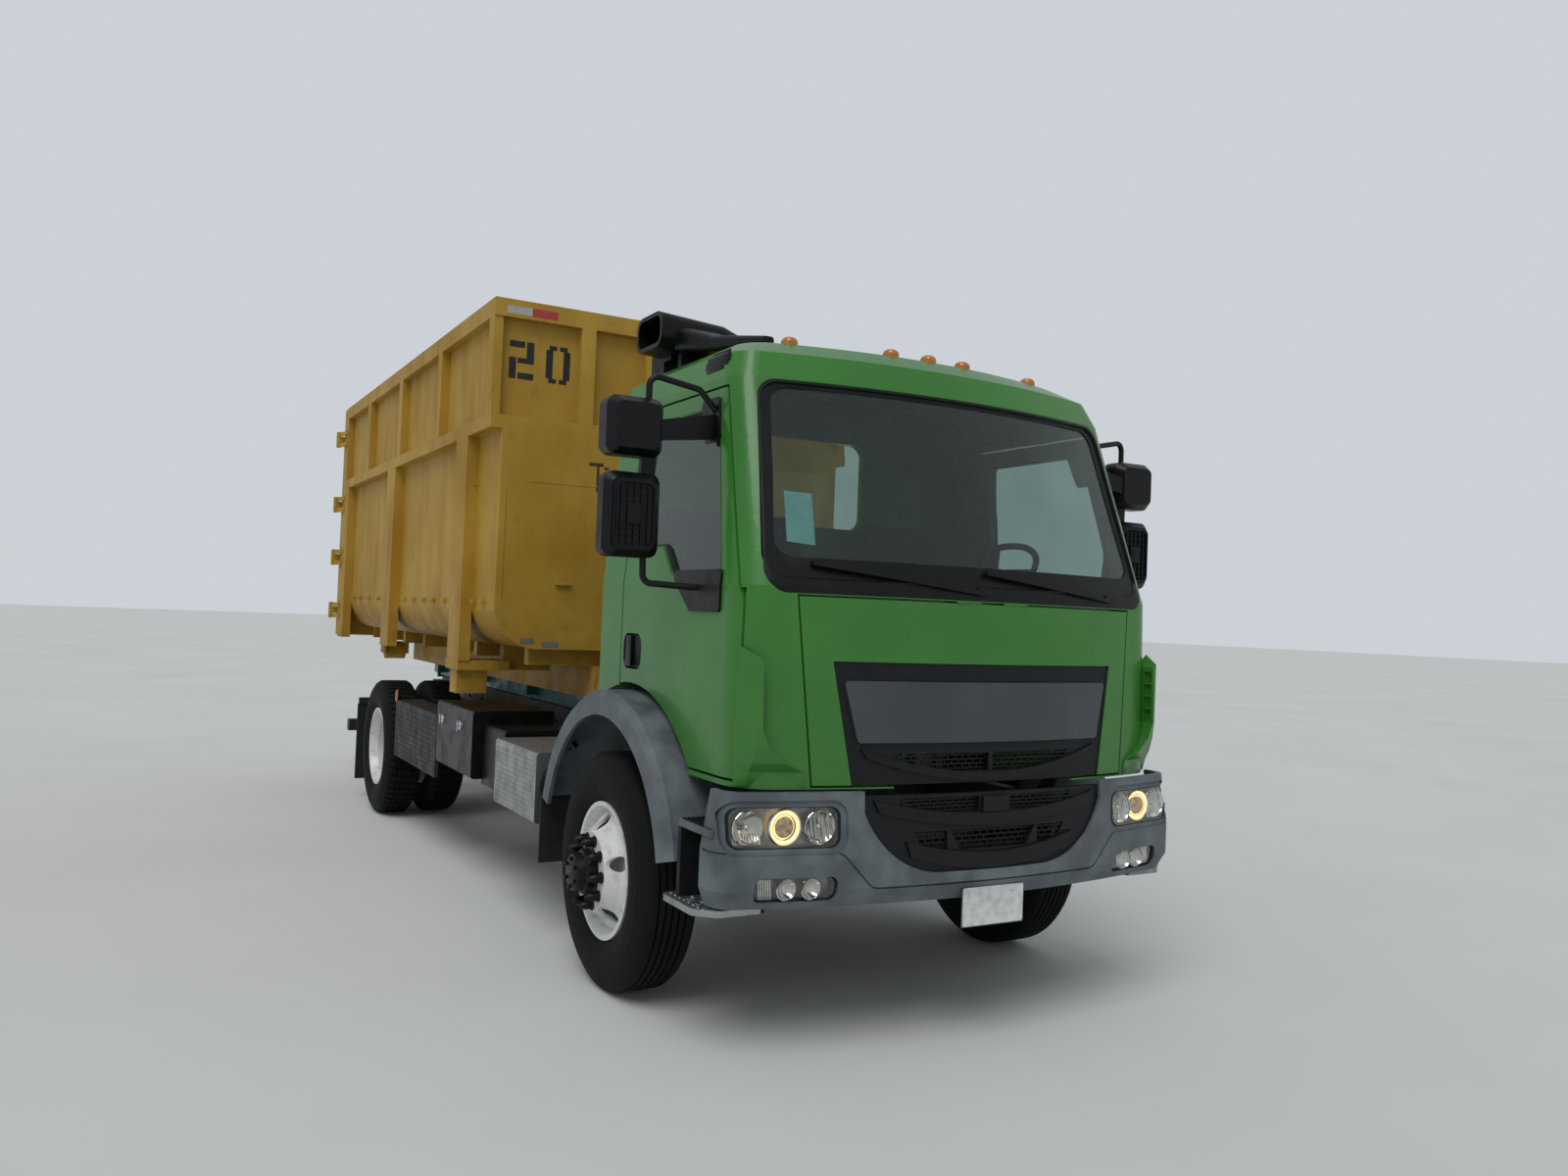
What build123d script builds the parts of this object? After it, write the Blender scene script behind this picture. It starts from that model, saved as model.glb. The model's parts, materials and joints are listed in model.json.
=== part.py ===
"""Roll-off truck: a low cab-forward two-axle truck with a hook-lift hoist and an open-top container.

Millimetres. +X forward, +Y to the truck's left, +Z up, ground at z = 0, x = 0 midway along the truck.
"""

import os
from math import atan2, cos, degrees, hypot, radians, sin, sqrt

from build123d import *

os.makedirs("parts", exist_ok=True)

# Overall layout
FRONT_OVERHANG = 1262
WHEELBASE = 4775
GATE_REAR = 6950
GATE_HINGE_R = 20
LENGTH = FRONT_OVERHANG + GATE_REAR + 2 * GATE_HINGE_R
X_FRONT = LENGTH / 2
X_FA = X_FRONT - FRONT_OVERHANG
X_RA = X_FA - WHEELBASE
SEAT = 0.3
GAP = 8
SIDES = (1, -1)

# Wheels and tyres (11R22.5 on 22.5 x 8.25 discs)
TYRE_R = 518
TYRE_HALF = 139
TREAD_HALF = 112
BEAD_HALF = 104
BEAD_R = 292
WIDEST_R = 405
SHOULDER_R = 502
AXLE_Z = TYRE_R
FLANGE_R = 299
WELL_R = 264
RIM_T = 12
DISC_OFFSET = 168
DISC_T = 12
HUB_R = 142
FRONT_WHEEL_Y = 1048
REAR_OUTER_Y = 1100
REAR_INNER_Y = REAR_OUTER_Y - 2 * DISC_OFFSET
SPINDLE_R = 38
HAND_HOLE_R = 33
HAND_HOLE_RING = 208
HAND_HOLES = 5

# Frame
RAIL_OUTER_Y = 432
RAIL_FLANGE = 72
RAIL_H = 254
RAIL_T = 9
RAIL_TOP = 950
RAIL_BOTTOM = RAIL_TOP - RAIL_H
RAIL_INNER_Y = RAIL_OUTER_Y - RAIL_FLANGE
RAIL_FRONT_X = X_FA + 1100
RAIL_REAR_X = X_FA - 6330

# Front axle and steering
KINGPIN_Y = 880
KINGPIN_R = 20
EYE_R = 46
EYE_HALF = 62
BEAM_WIDTH = 96
SPRING_FRONT_Y = 396
SPRING_REAR_Y = 510
SPRING_W = 76
SPRING_HALF = 700
AXLE_TUBE_R = 66
DIFF_R = 205

# Cab
CAB_REAR_X = X_FA - 380
CAB_HALF = 1065
CAB_WALL = 55
SHELL_BOTTOM = 1022
BELT_Z = 1778
SCREEN_TOP_Z = 2618
ROOF_Z = 2800
CAB_BOW = 158
REAR_CORNER_R = 60
ARCH_R = 818
FLOOR_T = 45
TUNNEL_HALF = 455
TUNNEL_TOP = 1262
TILT_X = X_FA + 1120
TILT_Z = 1050

# Plan sections of the cab's outside, from the bottom up
# columns: height, front face at the centre line, half width, corner radius
CAB_SECTIONS = (
    (SHELL_BOTTOM, X_FA + 1218, CAB_HALF, 190),
    (BELT_Z, X_FA + 1190, CAB_HALF, 160),
    (SCREEN_TOP_Z, X_FA + 914, CAB_HALF - 76, 125),
    (ROOF_Z - 70, X_FA + 858, CAB_HALF - 106, 140),
    (ROOF_Z, X_FA + 740, CAB_HALF - 215, 150),
)
# columns: height as above, so the room inside ends one wall below the roof
ROOM_TOP = ROOF_Z - CAB_WALL

# Doors
DOOR_FRONT_TOP_X = X_FA + 705
DOOR_FRONT_X = X_FA + 1000
DOOR_REAR_X = X_FA - 118
DOOR_BOTTOM = 1052
DOOR_TOP = 2572
DOOR_GAP = 10
DOOR_SWING_R = 130
DOOR_LEAF_HEIGHTS = (1190, 1620)
DASH_HALF = CAB_HALF - DOOR_SWING_R - 6
WINDOW_BOTTOM = 1823
WINDOW_TOP = 2500
DOOR_GLASS_T = 6
HANDLE_X = X_FA + 8
HANDLE_Z = 1484
HANDLE_W = 200
HANDLE_H = 158
HANDLE_DEPTH = 16

# Front flap and grille
FLAP_HALF_TOP = 848
FLAP_HALF_BOTTOM = 786
FLAP_BOTTOM = 1036
FLAP_TOP = 1742
FLAP_T = 24
BULKHEAD_GAP = 14
FLAP_PIN_R = 4
FLAP_PIN_LEN = 120
FLAP_HINGE_X = X_FA + 1189
FLAP_HINGE_Y = 120
FLAP_HINGE_Z = FLAP_TOP + SEAT + FLAP_PIN_R
GRILLE_TOP = 1502
GRILLE_HALF_TOP = 712
GRILLE_HALF_BOTTOM = 626
NAME_PANEL_BOTTOM = 1195
NAME_PANEL_TOP = 1430

# Windshield
SCREEN_BOTTOM = 1800
SCREEN_HALF_BOTTOM = 985
SCREEN_HALF_TOP = 905
GLASS_T = 7

# Bumper
BUMPER_TOP = 1018
BUMPER_SPLIT = 800
BUMPER_BOTTOM = 590
BUMPER_FRONT_X = X_FA + 1262
BUMPER_T = 22
BUMPER_REAR_X = X_FA + 975
BUMPER_HALF = 1165
BUMPER_BOW = 160
BUMPER_CORNER_R = 100
PLATE_W = 310
PLATE_H = 158
PLATE_T = 4
PLATE_CENTRE_Z = 555
PLATE_HOLE_SPACING = 177.8
PLATE_HOLE_R = 3.5
LOWER_GRILLE_BOTTOM = 700
LOWER_GRILLE_TOP = 1000
LOWER_GRILLE_HALF = 600

# Fenders
FENDER_R = 792
FENDER_T = 18
FENDER_OUTER_Y = 1200
FENDER_INNER_Y = 640
FENDER_LIP = 110
FENDER_POST_W = 36

# Hoist
HINGE_X = X_FA - 6150
HINGE_Z = 1012
TILT_RAIL_OUTER = 430
TILT_RAIL_W = 90
TILT_BOTTOM = 1008
TILT_TOP = 1145
TILT_FRONT_X = X_FA - 1500
TILT_BAR_H = 30
SUBFRAME_TOP = 1000
JIB_MAST_X = X_FA - 1620
JIB_W = 190
JIB_TOP = 2520
HOOK_BAR_X = X_FA - 1800
HOOK_BAR_Z = 2480
HOOK_BAR_R = 25
BARREL_R = 78
ROD_R = 42
CYLINDER_Y = 205
BARREL_PIVOT_X = X_FA - 2750
BARREL_PIVOT_Z = 862
ROD_PIVOT_X = X_FA - 4550
ROD_PIVOT_Z = 1062

# Container
BOX_FRONT_X = X_FA - 1895
BOX_REAR_X = X_FA - 6860
GATE_REAR_X = X_FA - GATE_REAR
BOX_HALF = 1220
STANCHION_DEPTH = 72
POST_DEPTH = 54
LOWER_HALF = BOX_HALF - STANCHION_DEPTH
UPPER_HALF = BOX_HALF - POST_DEPTH
FRONT_SETBACK = 60
SHEET_T = 10
BOX_TOP = 3465
TOP_RAIL_H = 105
MID_RAIL_TOP = 2780
MID_RAIL_BOTTOM = 2702
FOLD_Z = 1630
FOLD_RUN = 239
FLOOR_HALF = LOWER_HALF - FOLD_RUN
FLOOR_Z = 1412
BEARER_BOTTOM = 1315
SILL_BOTTOM = 1110
SILL_INNER = 457
SILL_T = 52
GATE_HINGE_X = GATE_REAR_X - GATE_HINGE_R
GATE_HINGE_Y = -BOX_HALF - 50
GATE_FRONT_X = BOX_REAR_X - GAP
GATE_BOTTOM = 1330
GATE_TOP = BOX_TOP - 6
HINGE_HEIGHTS = (1560, 2060, 2560, 3180)
HINGE_LUG_LEN = 105


def bar(x_span, y_span, z_span, mode=Mode.ADD):
    """Put a rectangular bar between two x, two y and two z values into the current part."""
    spans = (x_span, y_span, z_span)
    middle = [(low + high) / 2 for low, high in spans]
    with Locations(tuple(middle)):
        Box(*[abs(high - low) for low, high in spans], mode=mode)


def across(side, inner, outer):
    """A y span on one side of the truck, from two distances off the centre line."""
    return tuple(sorted((side * inner, side * outer)))


def side_plane(y):
    """Plane across the truck's width at y: local x is forward, local y is up, it faces -Y."""
    return Plane.XZ.offset(-y)


def pin(centre, radius, length, direction=(0, 1, 0), mode=Mode.ADD):
    """A round pin or bore through a point, centred on it, into the current part."""
    with Locations(Plane(origin=centre, z_dir=direction)):
        Cylinder(radius, length, mode=mode)


def save(part, name):
    """Label a finished sub-part and write it as its own STEP file."""
    part.part.label = name
    export_step(part.part, f"parts/{name}.step")


# Tyres

def tyre_solid(x, y):
    """One tyre, turned about the axle line from its cross-section."""
    with BuildSketch(Plane.YZ.offset(x)) as section:
        with BuildLine():
            Line((y - BEAD_HALF, AXLE_Z + BEAD_R), (y - BEAD_HALF, AXLE_Z + FLANGE_R + SEAT))
            ThreePointArc(
                (y - BEAD_HALF, AXLE_Z + FLANGE_R + SEAT),
                (y - TYRE_HALF, AXLE_Z + WIDEST_R),
                (y - TREAD_HALF, AXLE_Z + SHOULDER_R),
            )
            Polyline(
                (y - TREAD_HALF, AXLE_Z + SHOULDER_R),
                (y - TREAD_HALF + 24, AXLE_Z + TYRE_R),
                (y + TREAD_HALF - 24, AXLE_Z + TYRE_R),
                (y + TREAD_HALF, AXLE_Z + SHOULDER_R),
            )
            ThreePointArc(
                (y + TREAD_HALF, AXLE_Z + SHOULDER_R),
                (y + TYRE_HALF, AXLE_Z + WIDEST_R),
                (y + BEAD_HALF, AXLE_Z + FLANGE_R + SEAT),
            )
            Polyline(
                (y + BEAD_HALF, AXLE_Z + FLANGE_R + SEAT),
                (y + BEAD_HALF, AXLE_Z + BEAD_R),
                (y - BEAD_HALF, AXLE_Z + BEAD_R),
            )
        make_face()
    revolve(section.sketch, axis=Axis((x, 0, AXLE_Z), (0, 1, 0)))


def rim_solid(x, y, face_side):
    """One rim and its dished disc; the disc's mounting face is face_side of the rim's middle."""
    edge = BEAD_HALF + RIM_T
    seat_r = BEAD_R - SEAT
    disc_y = y + face_side * (DISC_OFFSET - DISC_T)
    face_y = y + face_side * DISC_OFFSET
    with BuildSketch(Plane.YZ.offset(x)) as barrel:
        with BuildLine():
            Polyline(
                (y - edge, AXLE_Z + FLANGE_R),
                (y - BEAD_HALF - SEAT, AXLE_Z + FLANGE_R),
                (y - BEAD_HALF - SEAT, AXLE_Z + seat_r),
                (y - BEAD_HALF + 30, AXLE_Z + seat_r - 4),
                (y - BEAD_HALF + 50, AXLE_Z + WELL_R),
                (y + BEAD_HALF - 50, AXLE_Z + WELL_R),
                (y + BEAD_HALF - 30, AXLE_Z + seat_r - 4),
                (y + BEAD_HALF + SEAT, AXLE_Z + seat_r),
                (y + BEAD_HALF + SEAT, AXLE_Z + FLANGE_R),
                (y + edge, AXLE_Z + FLANGE_R),
                (y + edge, AXLE_Z + seat_r - RIM_T),
                (y + BEAD_HALF - 46, AXLE_Z + WELL_R - RIM_T),
                (y - BEAD_HALF + 46, AXLE_Z + WELL_R - RIM_T),
                (y - edge, AXLE_Z + seat_r - RIM_T),
                close=True,
            )
        make_face()
    revolve(barrel.sketch, axis=Axis((x, 0, AXLE_Z), (0, 1, 0)))
    with BuildSketch(Plane.YZ.offset(x)) as dish:
        with BuildLine():
            Polyline(
                (y + face_side * 40, AXLE_Z + WELL_R - 2),
                (y + face_side * 66, AXLE_Z + WELL_R - 2),
                (y + face_side * 110, AXLE_Z + 214),
                (face_y, AXLE_Z + 172),
                (face_y, AXLE_Z + 100),
                (disc_y, AXLE_Z + 100),
                (disc_y, AXLE_Z + 168),
                (y + face_side * 96, AXLE_Z + 206),
                close=True,
            )
        make_face()
    revolve(dish.sketch, axis=Axis((x, 0, AXLE_Z), (0, 1, 0)))
    ring = Plane(origin=(x, y + face_side * 120, AXLE_Z), z_dir=(0, 1, 0))
    with Locations(ring):
        with PolarLocations(HAND_HOLE_RING, HAND_HOLES):
            Cylinder(HAND_HOLE_R, 90, mode=Mode.SUBTRACT)


for side, hand in ((1, "left"), (-1, "right")):
    wheel_y = side * FRONT_WHEEL_Y
    with BuildPart() as front_tyre:
        tyre_solid(X_FA, wheel_y)
    save(front_tyre, f"tyre_front_{hand}")

    hub_inner = side * (KINGPIN_Y + EYE_R + 62)
    hub_outer = wheel_y + side * (DISC_OFFSET + 78)
    with BuildPart() as front_rim:
        rim_solid(X_FA, wheel_y, side)
        with BuildSketch(Plane.YZ.offset(X_FA)):
            with BuildLine():
                Polyline(
                    (hub_inner, AXLE_Z + SPINDLE_R + SEAT),
                    (hub_inner, AXLE_Z + 205),
                    (wheel_y + side * 62, AXLE_Z + 205),
                    (wheel_y + side * 84, AXLE_Z + 110),
                    (wheel_y + side * (DISC_OFFSET - DISC_T), AXLE_Z + 110),
                    (wheel_y + side * (DISC_OFFSET - DISC_T), AXLE_Z + HUB_R),
                    (wheel_y + side * (DISC_OFFSET - DISC_T - SEAT), AXLE_Z + HUB_R),
                    (wheel_y + side * (DISC_OFFSET + 8), AXLE_Z + 98),
                    (hub_outer - side * 14, AXLE_Z + 74),
                    (hub_outer, AXLE_Z + 60),
                    (hub_outer, AXLE_Z),
                    (hub_outer - side * 20, AXLE_Z),
                    (hub_outer - side * 20, AXLE_Z + SPINDLE_R + SEAT),
                    close=True,
                )
            make_face()
        revolve(axis=Axis((X_FA, 0, AXLE_Z), (0, 1, 0)))
    save(front_rim, f"rim_front_{hand}")

    with BuildPart() as rear_tyres:
        tyre_solid(X_RA, side * REAR_OUTER_Y)
        tyre_solid(X_RA, side * REAR_INNER_Y)
    save(rear_tyres, f"tyres_rear_{hand}")

    drum_inner = side * (REAR_INNER_Y - 90)
    cap_y = side * (REAR_OUTER_Y + 20)
    with BuildPart() as rear_rims:
        rim_solid(X_RA, side * REAR_OUTER_Y, -side)
        rim_solid(X_RA, side * REAR_INNER_Y, side)
        with BuildSketch(Plane.YZ.offset(X_RA)):
            with BuildLine():
                Polyline(
                    (drum_inner, AXLE_Z + AXLE_TUBE_R + SEAT),
                    (drum_inner, AXLE_Z + 210),
                    (side * (REAR_INNER_Y + 110), AXLE_Z + 210),
                    (side * (REAR_INNER_Y + 130), AXLE_Z + 98),
                    (cap_y - side * 30, AXLE_Z + 98),
                    (cap_y, AXLE_Z + 70),
                    (cap_y, AXLE_Z),
                    (cap_y - side * 24, AXLE_Z),
                    (cap_y - side * 24, AXLE_Z + AXLE_TUBE_R + SEAT),
                    close=True,
                )
            make_face()
        revolve(axis=Axis((X_RA, 0, AXLE_Z), (0, 1, 0)))
    save(rear_rims, f"rims_rear_{hand}")


# Frame rails: two channels with their flanges turned inward, and the hinge brackets at their front

def channel(side, x_front, x_rear):
    """One rail of the frame, its web outside and its flanges towards the middle."""
    web = side * RAIL_OUTER_Y
    lip = side * RAIL_INNER_Y
    web_in = side * (RAIL_OUTER_Y - RAIL_T)
    with BuildSketch(Plane.YZ.offset(x_rear)) as section:
        with BuildLine():
            Polyline(
                (web, RAIL_BOTTOM),
                (web, RAIL_TOP),
                (lip, RAIL_TOP),
                (lip, RAIL_TOP - RAIL_T),
                (web_in, RAIL_TOP - RAIL_T),
                (web_in, RAIL_BOTTOM + RAIL_T),
                (lip, RAIL_BOTTOM + RAIL_T),
                (lip, RAIL_BOTTOM),
                close=True,
            )
        make_face()
    extrude(section.sketch, amount=x_front - x_rear)


with BuildPart() as frame_rails:
    for side in SIDES:
        channel(side, RAIL_FRONT_X, RAIL_REAR_X)
save(frame_rails, "frame_rails")

CROSS_W = 90
CROSS_HALF = RAIL_OUTER_Y - RAIL_T
CROSS_LOW = RAIL_BOTTOM + RAIL_T
CROSS_H = 70
CROSS_HIGH = RAIL_TOP - RAIL_T - CROSS_H
# Tubes between the rails; columns: distance from the front axle, underside
CROSS_TUBES = (
    (1010, CROSS_LOW),
    (620, CROSS_LOW),
    (-1000, CROSS_LOW),
    (-2060, CROSS_HIGH),
    (-3900, CROSS_LOW),
    (-5300, CROSS_LOW),
    (-6240, CROSS_LOW),
)
TILT_LUG_Y = 392
TILT_LUG_T = 16
TILT_PIN_R = 14
CAB_REST_X = X_FA - 300
CAB_REST_TOP = AXLE_Z + sqrt(ARCH_R**2 - 330**2) - SEAT
with BuildPart() as cross_members:
    for place, low in CROSS_TUBES:
        x = X_FA + place
        bar((x - CROSS_W / 2, x + CROSS_W / 2), (-CROSS_HALF, CROSS_HALF), (low, low + CROSS_H))
    for side in SIDES:
        # Upright that carries the cab's pivot pin, on top of the rail's front end
        with BuildSketch(side_plane(side * (TILT_LUG_Y + TILT_LUG_T + 6))):
            with BuildLine():
                Polyline(
                    (TILT_X - 46, RAIL_TOP),
                    (TILT_X - 20, RAIL_TOP),
                    (TILT_X - 20, RAIL_TOP + 1),
                )
                Line((TILT_X - 20, RAIL_TOP + 1), (TILT_X + 26, TILT_Z - 6))
                ThreePointArc(
                    (TILT_X + 26, TILT_Z - 6), (TILT_X, TILT_Z + 26), (TILT_X - 26, TILT_Z)
                )
                Line((TILT_X - 26, TILT_Z), (TILT_X - 110, RAIL_TOP))
                Line((TILT_X - 110, RAIL_TOP), (TILT_X - 46, RAIL_TOP))
            make_face()
        extrude(amount=-side * TILT_LUG_T)
        pin(
            (TILT_X, side * (TILT_LUG_Y + TILT_LUG_T / 2 + 3), TILT_Z),
            TILT_PIN_R,
            2 * TILT_LUG_T + 10,
        )
    # Trestle behind the engine that the cab's rear edge rests on
    for side in SIDES:
        bar(
            (CAB_REST_X - 30, CAB_REST_X + 30),
            across(side, RAIL_INNER_Y + 4, RAIL_OUTER_Y - 4),
            (RAIL_TOP, CAB_REST_TOP - 60),
        )
    bar(
        (CAB_REST_X - 30, CAB_REST_X + 30),
        (-RAIL_OUTER_Y + 4, RAIL_OUTER_Y - 4),
        (CAB_REST_TOP - 60, CAB_REST_TOP),
    )
save(cross_members, "cross_members")

ENGINE_HALF = 300
ENGINE_MOUNTS_AT = (180, -760)
with BuildPart() as engine:
    with BuildSketch(side_plane(ENGINE_HALF)):
        with BuildLine():
            Polyline(
                (X_FA + 300, 800),
                (X_FA + 300, 1190),
                (X_FA - 250, 1190),
                (X_FA - 250, 1120),
                (X_FA - 700, 1120),
                (X_FA - 980, 940),
                (X_FA - 980, 790),
                (X_FA - 620, 640),
                (X_FA - 120, 640),
                (X_FA - 60, 780),
                close=True,
            )
        make_face()
    extrude(amount=2 * ENGINE_HALF)
    # Mounts out to the frame rails
    for place in ENGINE_MOUNTS_AT:
        x = X_FA + place
        for side in SIDES:
            bar(
                (x - 50, x + 50),
                across(side, ENGINE_HALF - 5, CROSS_HALF - SEAT),
                (RAIL_BOTTOM + 110, RAIL_BOTTOM + 170),
            )
save(engine, "engine_block")


# Front axle, springs, knuckles

SPRING_LOW = AXLE_Z + 74
with BuildPart() as front_axle:
    with BuildSketch(Plane.YZ.offset(X_FA - BEAM_WIDTH / 2)):
        with BuildLine():
            Polyline(
                (-KINGPIN_Y, AXLE_Z - 44),
                (-KINGPIN_Y, AXLE_Z + 44),
                (-KINGPIN_Y + 90, AXLE_Z + 44),
                (-560, SPRING_LOW - SEAT),
                (-300, SPRING_LOW - SEAT),
                (-180, AXLE_Z + 20),
                (180, AXLE_Z + 20),
                (300, SPRING_LOW - SEAT),
                (560, SPRING_LOW - SEAT),
                (KINGPIN_Y - 90, AXLE_Z + 44),
                (KINGPIN_Y, AXLE_Z + 44),
                (KINGPIN_Y, AXLE_Z - 44),
                (560, AXLE_Z - 60),
                (300, AXLE_Z - 90),
                (-300, AXLE_Z - 90),
                (-560, AXLE_Z - 60),
                close=True,
            )
        make_face()
    extrude(amount=BEAM_WIDTH)
    # Recesses of the I section, front and back
    for face in SIDES:
        inner = X_FA + face * 14
        outer = X_FA + face * (BEAM_WIDTH / 2 + 1)
        bar(sorted((inner, outer)), (-790, 790), (AXLE_Z - 44, AXLE_Z - 8), mode=Mode.SUBTRACT)
    for side in SIDES:
        eye = (X_FA, side * KINGPIN_Y, AXLE_Z)
        pin(eye, EYE_R, 2 * EYE_HALF, (0, 0, 1))
        pin(eye, KINGPIN_R, 2 * EYE_HALF + 2, (0, 0, 1), mode=Mode.SUBTRACT)
save(front_axle, "front_axle")


def leaf_pack(x, side_y, axle_top, eye_z):
    """A curved pack of leaves: level seat on the axle, rising to an eye at each end."""
    with BuildSketch(side_plane(side_y + SPRING_W / 2)) as leaves:
        with BuildLine():
            ThreePointArc((x - SPRING_HALF, eye_z), (x, axle_top), (x + SPRING_HALF, eye_z))
            Line((x + SPRING_HALF, eye_z), (x + SPRING_HALF, eye_z + 14))
            ThreePointArc(
                (x + SPRING_HALF, eye_z + 14), (x, axle_top + 62), (x - SPRING_HALF, eye_z + 14)
            )
            Line((x - SPRING_HALF, eye_z + 14), (x - SPRING_HALF, eye_z))
        make_face()
    extrude(leaves.sketch, amount=SPRING_W)


with BuildPart() as leaf_springs:
    for side in SIDES:
        leaf_pack(X_FA, side * SPRING_FRONT_Y, SPRING_LOW, RAIL_BOTTOM - 46)
        leaf_pack(X_RA, side * SPRING_REAR_Y, AXLE_Z + AXLE_TUBE_R + 10, RAIL_BOTTOM + 20)
        for end in SIDES:
            # Hangers: under the rail in front, beside it at the rear
            x = X_FA + end * (SPRING_HALF - 34)
            bar(
                (x - 30, x + 30),
                across(side, SPRING_FRONT_Y - 30, SPRING_FRONT_Y + 30),
                (RAIL_BOTTOM - 42, RAIL_BOTTOM - SEAT),
            )
            x = X_RA + end * (SPRING_HALF - 34)
            bar(
                (x - 40, x + 40),
                across(side, RAIL_OUTER_Y + SEAT, SPRING_REAR_Y + SPRING_W / 2),
                (RAIL_BOTTOM + 20, RAIL_BOTTOM + 150),
            )
save(leaf_springs, "leaf_springs")

YOKE_T = 40
for side, hand in ((1, "left"), (-1, "right")):
    post_y = side * (KINGPIN_Y + EYE_R + 26)
    with BuildPart() as knuckle:
        pin((X_FA, side * KINGPIN_Y, AXLE_Z), KINGPIN_R - SEAT, 2 * (EYE_HALF + YOKE_T), (0, 0, 1))
        for end in SIDES:
            arm_z = sorted((AXLE_Z + end * (EYE_HALF + 1), AXLE_Z + end * (EYE_HALF + YOKE_T)))
            pin((X_FA, side * KINGPIN_Y, sum(arm_z) / 2), EYE_R - 6, arm_z[1] - arm_z[0], (0, 0, 1))
            bar(
                (X_FA - 38, X_FA + 38),
                across(side, KINGPIN_Y, KINGPIN_Y + EYE_R + 44),
                arm_z,
            )
        bar(
            (X_FA - 62, X_FA + 62),
            across(side, KINGPIN_Y + EYE_R + 8, KINGPIN_Y + EYE_R + 44),
            (AXLE_Z - EYE_HALF - YOKE_T, AXLE_Z + EYE_HALF + YOKE_T),
        )
        spindle_end = FRONT_WHEEL_Y + DISC_OFFSET + 40
        spindle_start = KINGPIN_Y + EYE_R + 30
        pin(
            (X_FA, side * (spindle_start + spindle_end) / 2, AXLE_Z),
            SPINDLE_R,
            spindle_end - spindle_start,
        )
        # Steering arm, behind the axle and turned inward
        bar(
            (X_FA - 190, X_FA - 30),
            across(side, KINGPIN_Y - 8, KINGPIN_Y + 24),
            (AXLE_Z - EYE_HALF - YOKE_T, AXLE_Z - EYE_HALF - 6),
        )
    save(knuckle, f"knuckle_{hand}")

with BuildPart() as rear_axle:
    tube_end = REAR_OUTER_Y - 10
    with BuildSketch(Plane.YZ.offset(X_RA)):
        with BuildLine():
            Polyline(
                (-tube_end, AXLE_Z),
                (-tube_end, AXLE_Z + AXLE_TUBE_R),
                (-DIFF_R - 130, AXLE_Z + AXLE_TUBE_R),
                (-DIFF_R + 30, AXLE_Z + DIFF_R - 60),
            )
            ThreePointArc(
                (-DIFF_R + 30, AXLE_Z + DIFF_R - 60),
                (0, AXLE_Z + DIFF_R),
                (DIFF_R - 30, AXLE_Z + DIFF_R - 60),
            )
            Polyline(
                (DIFF_R - 30, AXLE_Z + DIFF_R - 60),
                (DIFF_R + 130, AXLE_Z + AXLE_TUBE_R),
                (tube_end, AXLE_Z + AXLE_TUBE_R),
                (tube_end, AXLE_Z),
                (-tube_end, AXLE_Z),
            )
        make_face()
    revolve(axis=Axis((X_RA, 0, AXLE_Z), (0, 1, 0)))
    # Nose of the housing, where the drive shaft comes in
    with BuildSketch(Plane.YZ.offset(X_RA + DIFF_R - 60)):
        with Locations((0, AXLE_Z + 10)):
            Circle(130)
    with BuildSketch(Plane.YZ.offset(X_RA + DIFF_R + 140)):
        with Locations((0, AXLE_Z + 30)):
            Circle(62)
    loft()
    for side in SIDES:
        bar(
            (X_RA - 60, X_RA + 60),
            across(side, SPRING_REAR_Y - 44, SPRING_REAR_Y + 44),
            (AXLE_Z, AXLE_Z + AXLE_TUBE_R + 10 - SEAT),
        )
save(rear_axle, "rear_axle")

SHAFT_R = 52
SHAFT_START = Vector(X_FA - 980 - SEAT, 0, 865)
SHAFT_END = Vector(X_RA + DIFF_R + 140 + SEAT, 0, AXLE_Z + 30)
YOKE_R = SHAFT_R + 16
YOKE_LEN = 60
with BuildPart() as drive_shaft:
    along = (SHAFT_END - SHAFT_START).normalized()
    # The flanges lean with the shaft, so they start a little off the faces they are bolted to
    inset = YOKE_R * abs(along.Z / along.X)
    run = (SHAFT_END - SHAFT_START).length - 2 * inset
    start = SHAFT_START + along * inset
    with BuildSketch(Plane(origin=start, z_dir=along)):
        Circle(SHAFT_R)
    extrude(amount=run)
    for place in (0, run - YOKE_LEN):
        with BuildSketch(Plane(origin=start + along * place, z_dir=along)):
            Circle(YOKE_R)
        extrude(amount=YOKE_LEN)
save(drive_shaft, "drive_shaft")


# Cab: one outside form and one room, from which the shell, doors, flap and corners are cut

def cab_section(height, front_x, half, corner, inset=0.0):
    """Outline of the cab seen from above at one height: bowed front, round corners."""
    front = front_x - inset
    rear = CAB_REAR_X + inset
    width = half - inset
    shoulder = front - CAB_BOW
    with BuildSketch(Plane.XY.offset(height)) as plan:
        with BuildLine():
            ThreePointArc((shoulder, width), (front, 0), (shoulder, -width))
            Polyline((shoulder, -width), (rear, -width), (rear, width), (shoulder, width))
        make_face()
        ends = plan.vertices().group_by(Axis.X)
        fillet(ends[-1], radius=corner - inset)
        fillet(ends[0], radius=max(REAR_CORNER_R - inset, 8))
    return plan.sketch


def cab_form(rows, inset=0.0, mode=Mode.ADD):
    """Put the cab's form into the current part, over some of its sections, inset all round."""
    loft([cab_section(*row, inset) for row in rows], ruled=True, mode=mode)


def room_height(height):
    """Heights of the room's sections: from above the floor to one wall under the roof."""
    if height == SHELL_BOTTOM:
        return SHELL_BOTTOM + FLOOR_T
    return min(height, ROOM_TOP - 60) if height < ROOF_Z else ROOM_TOP


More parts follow.
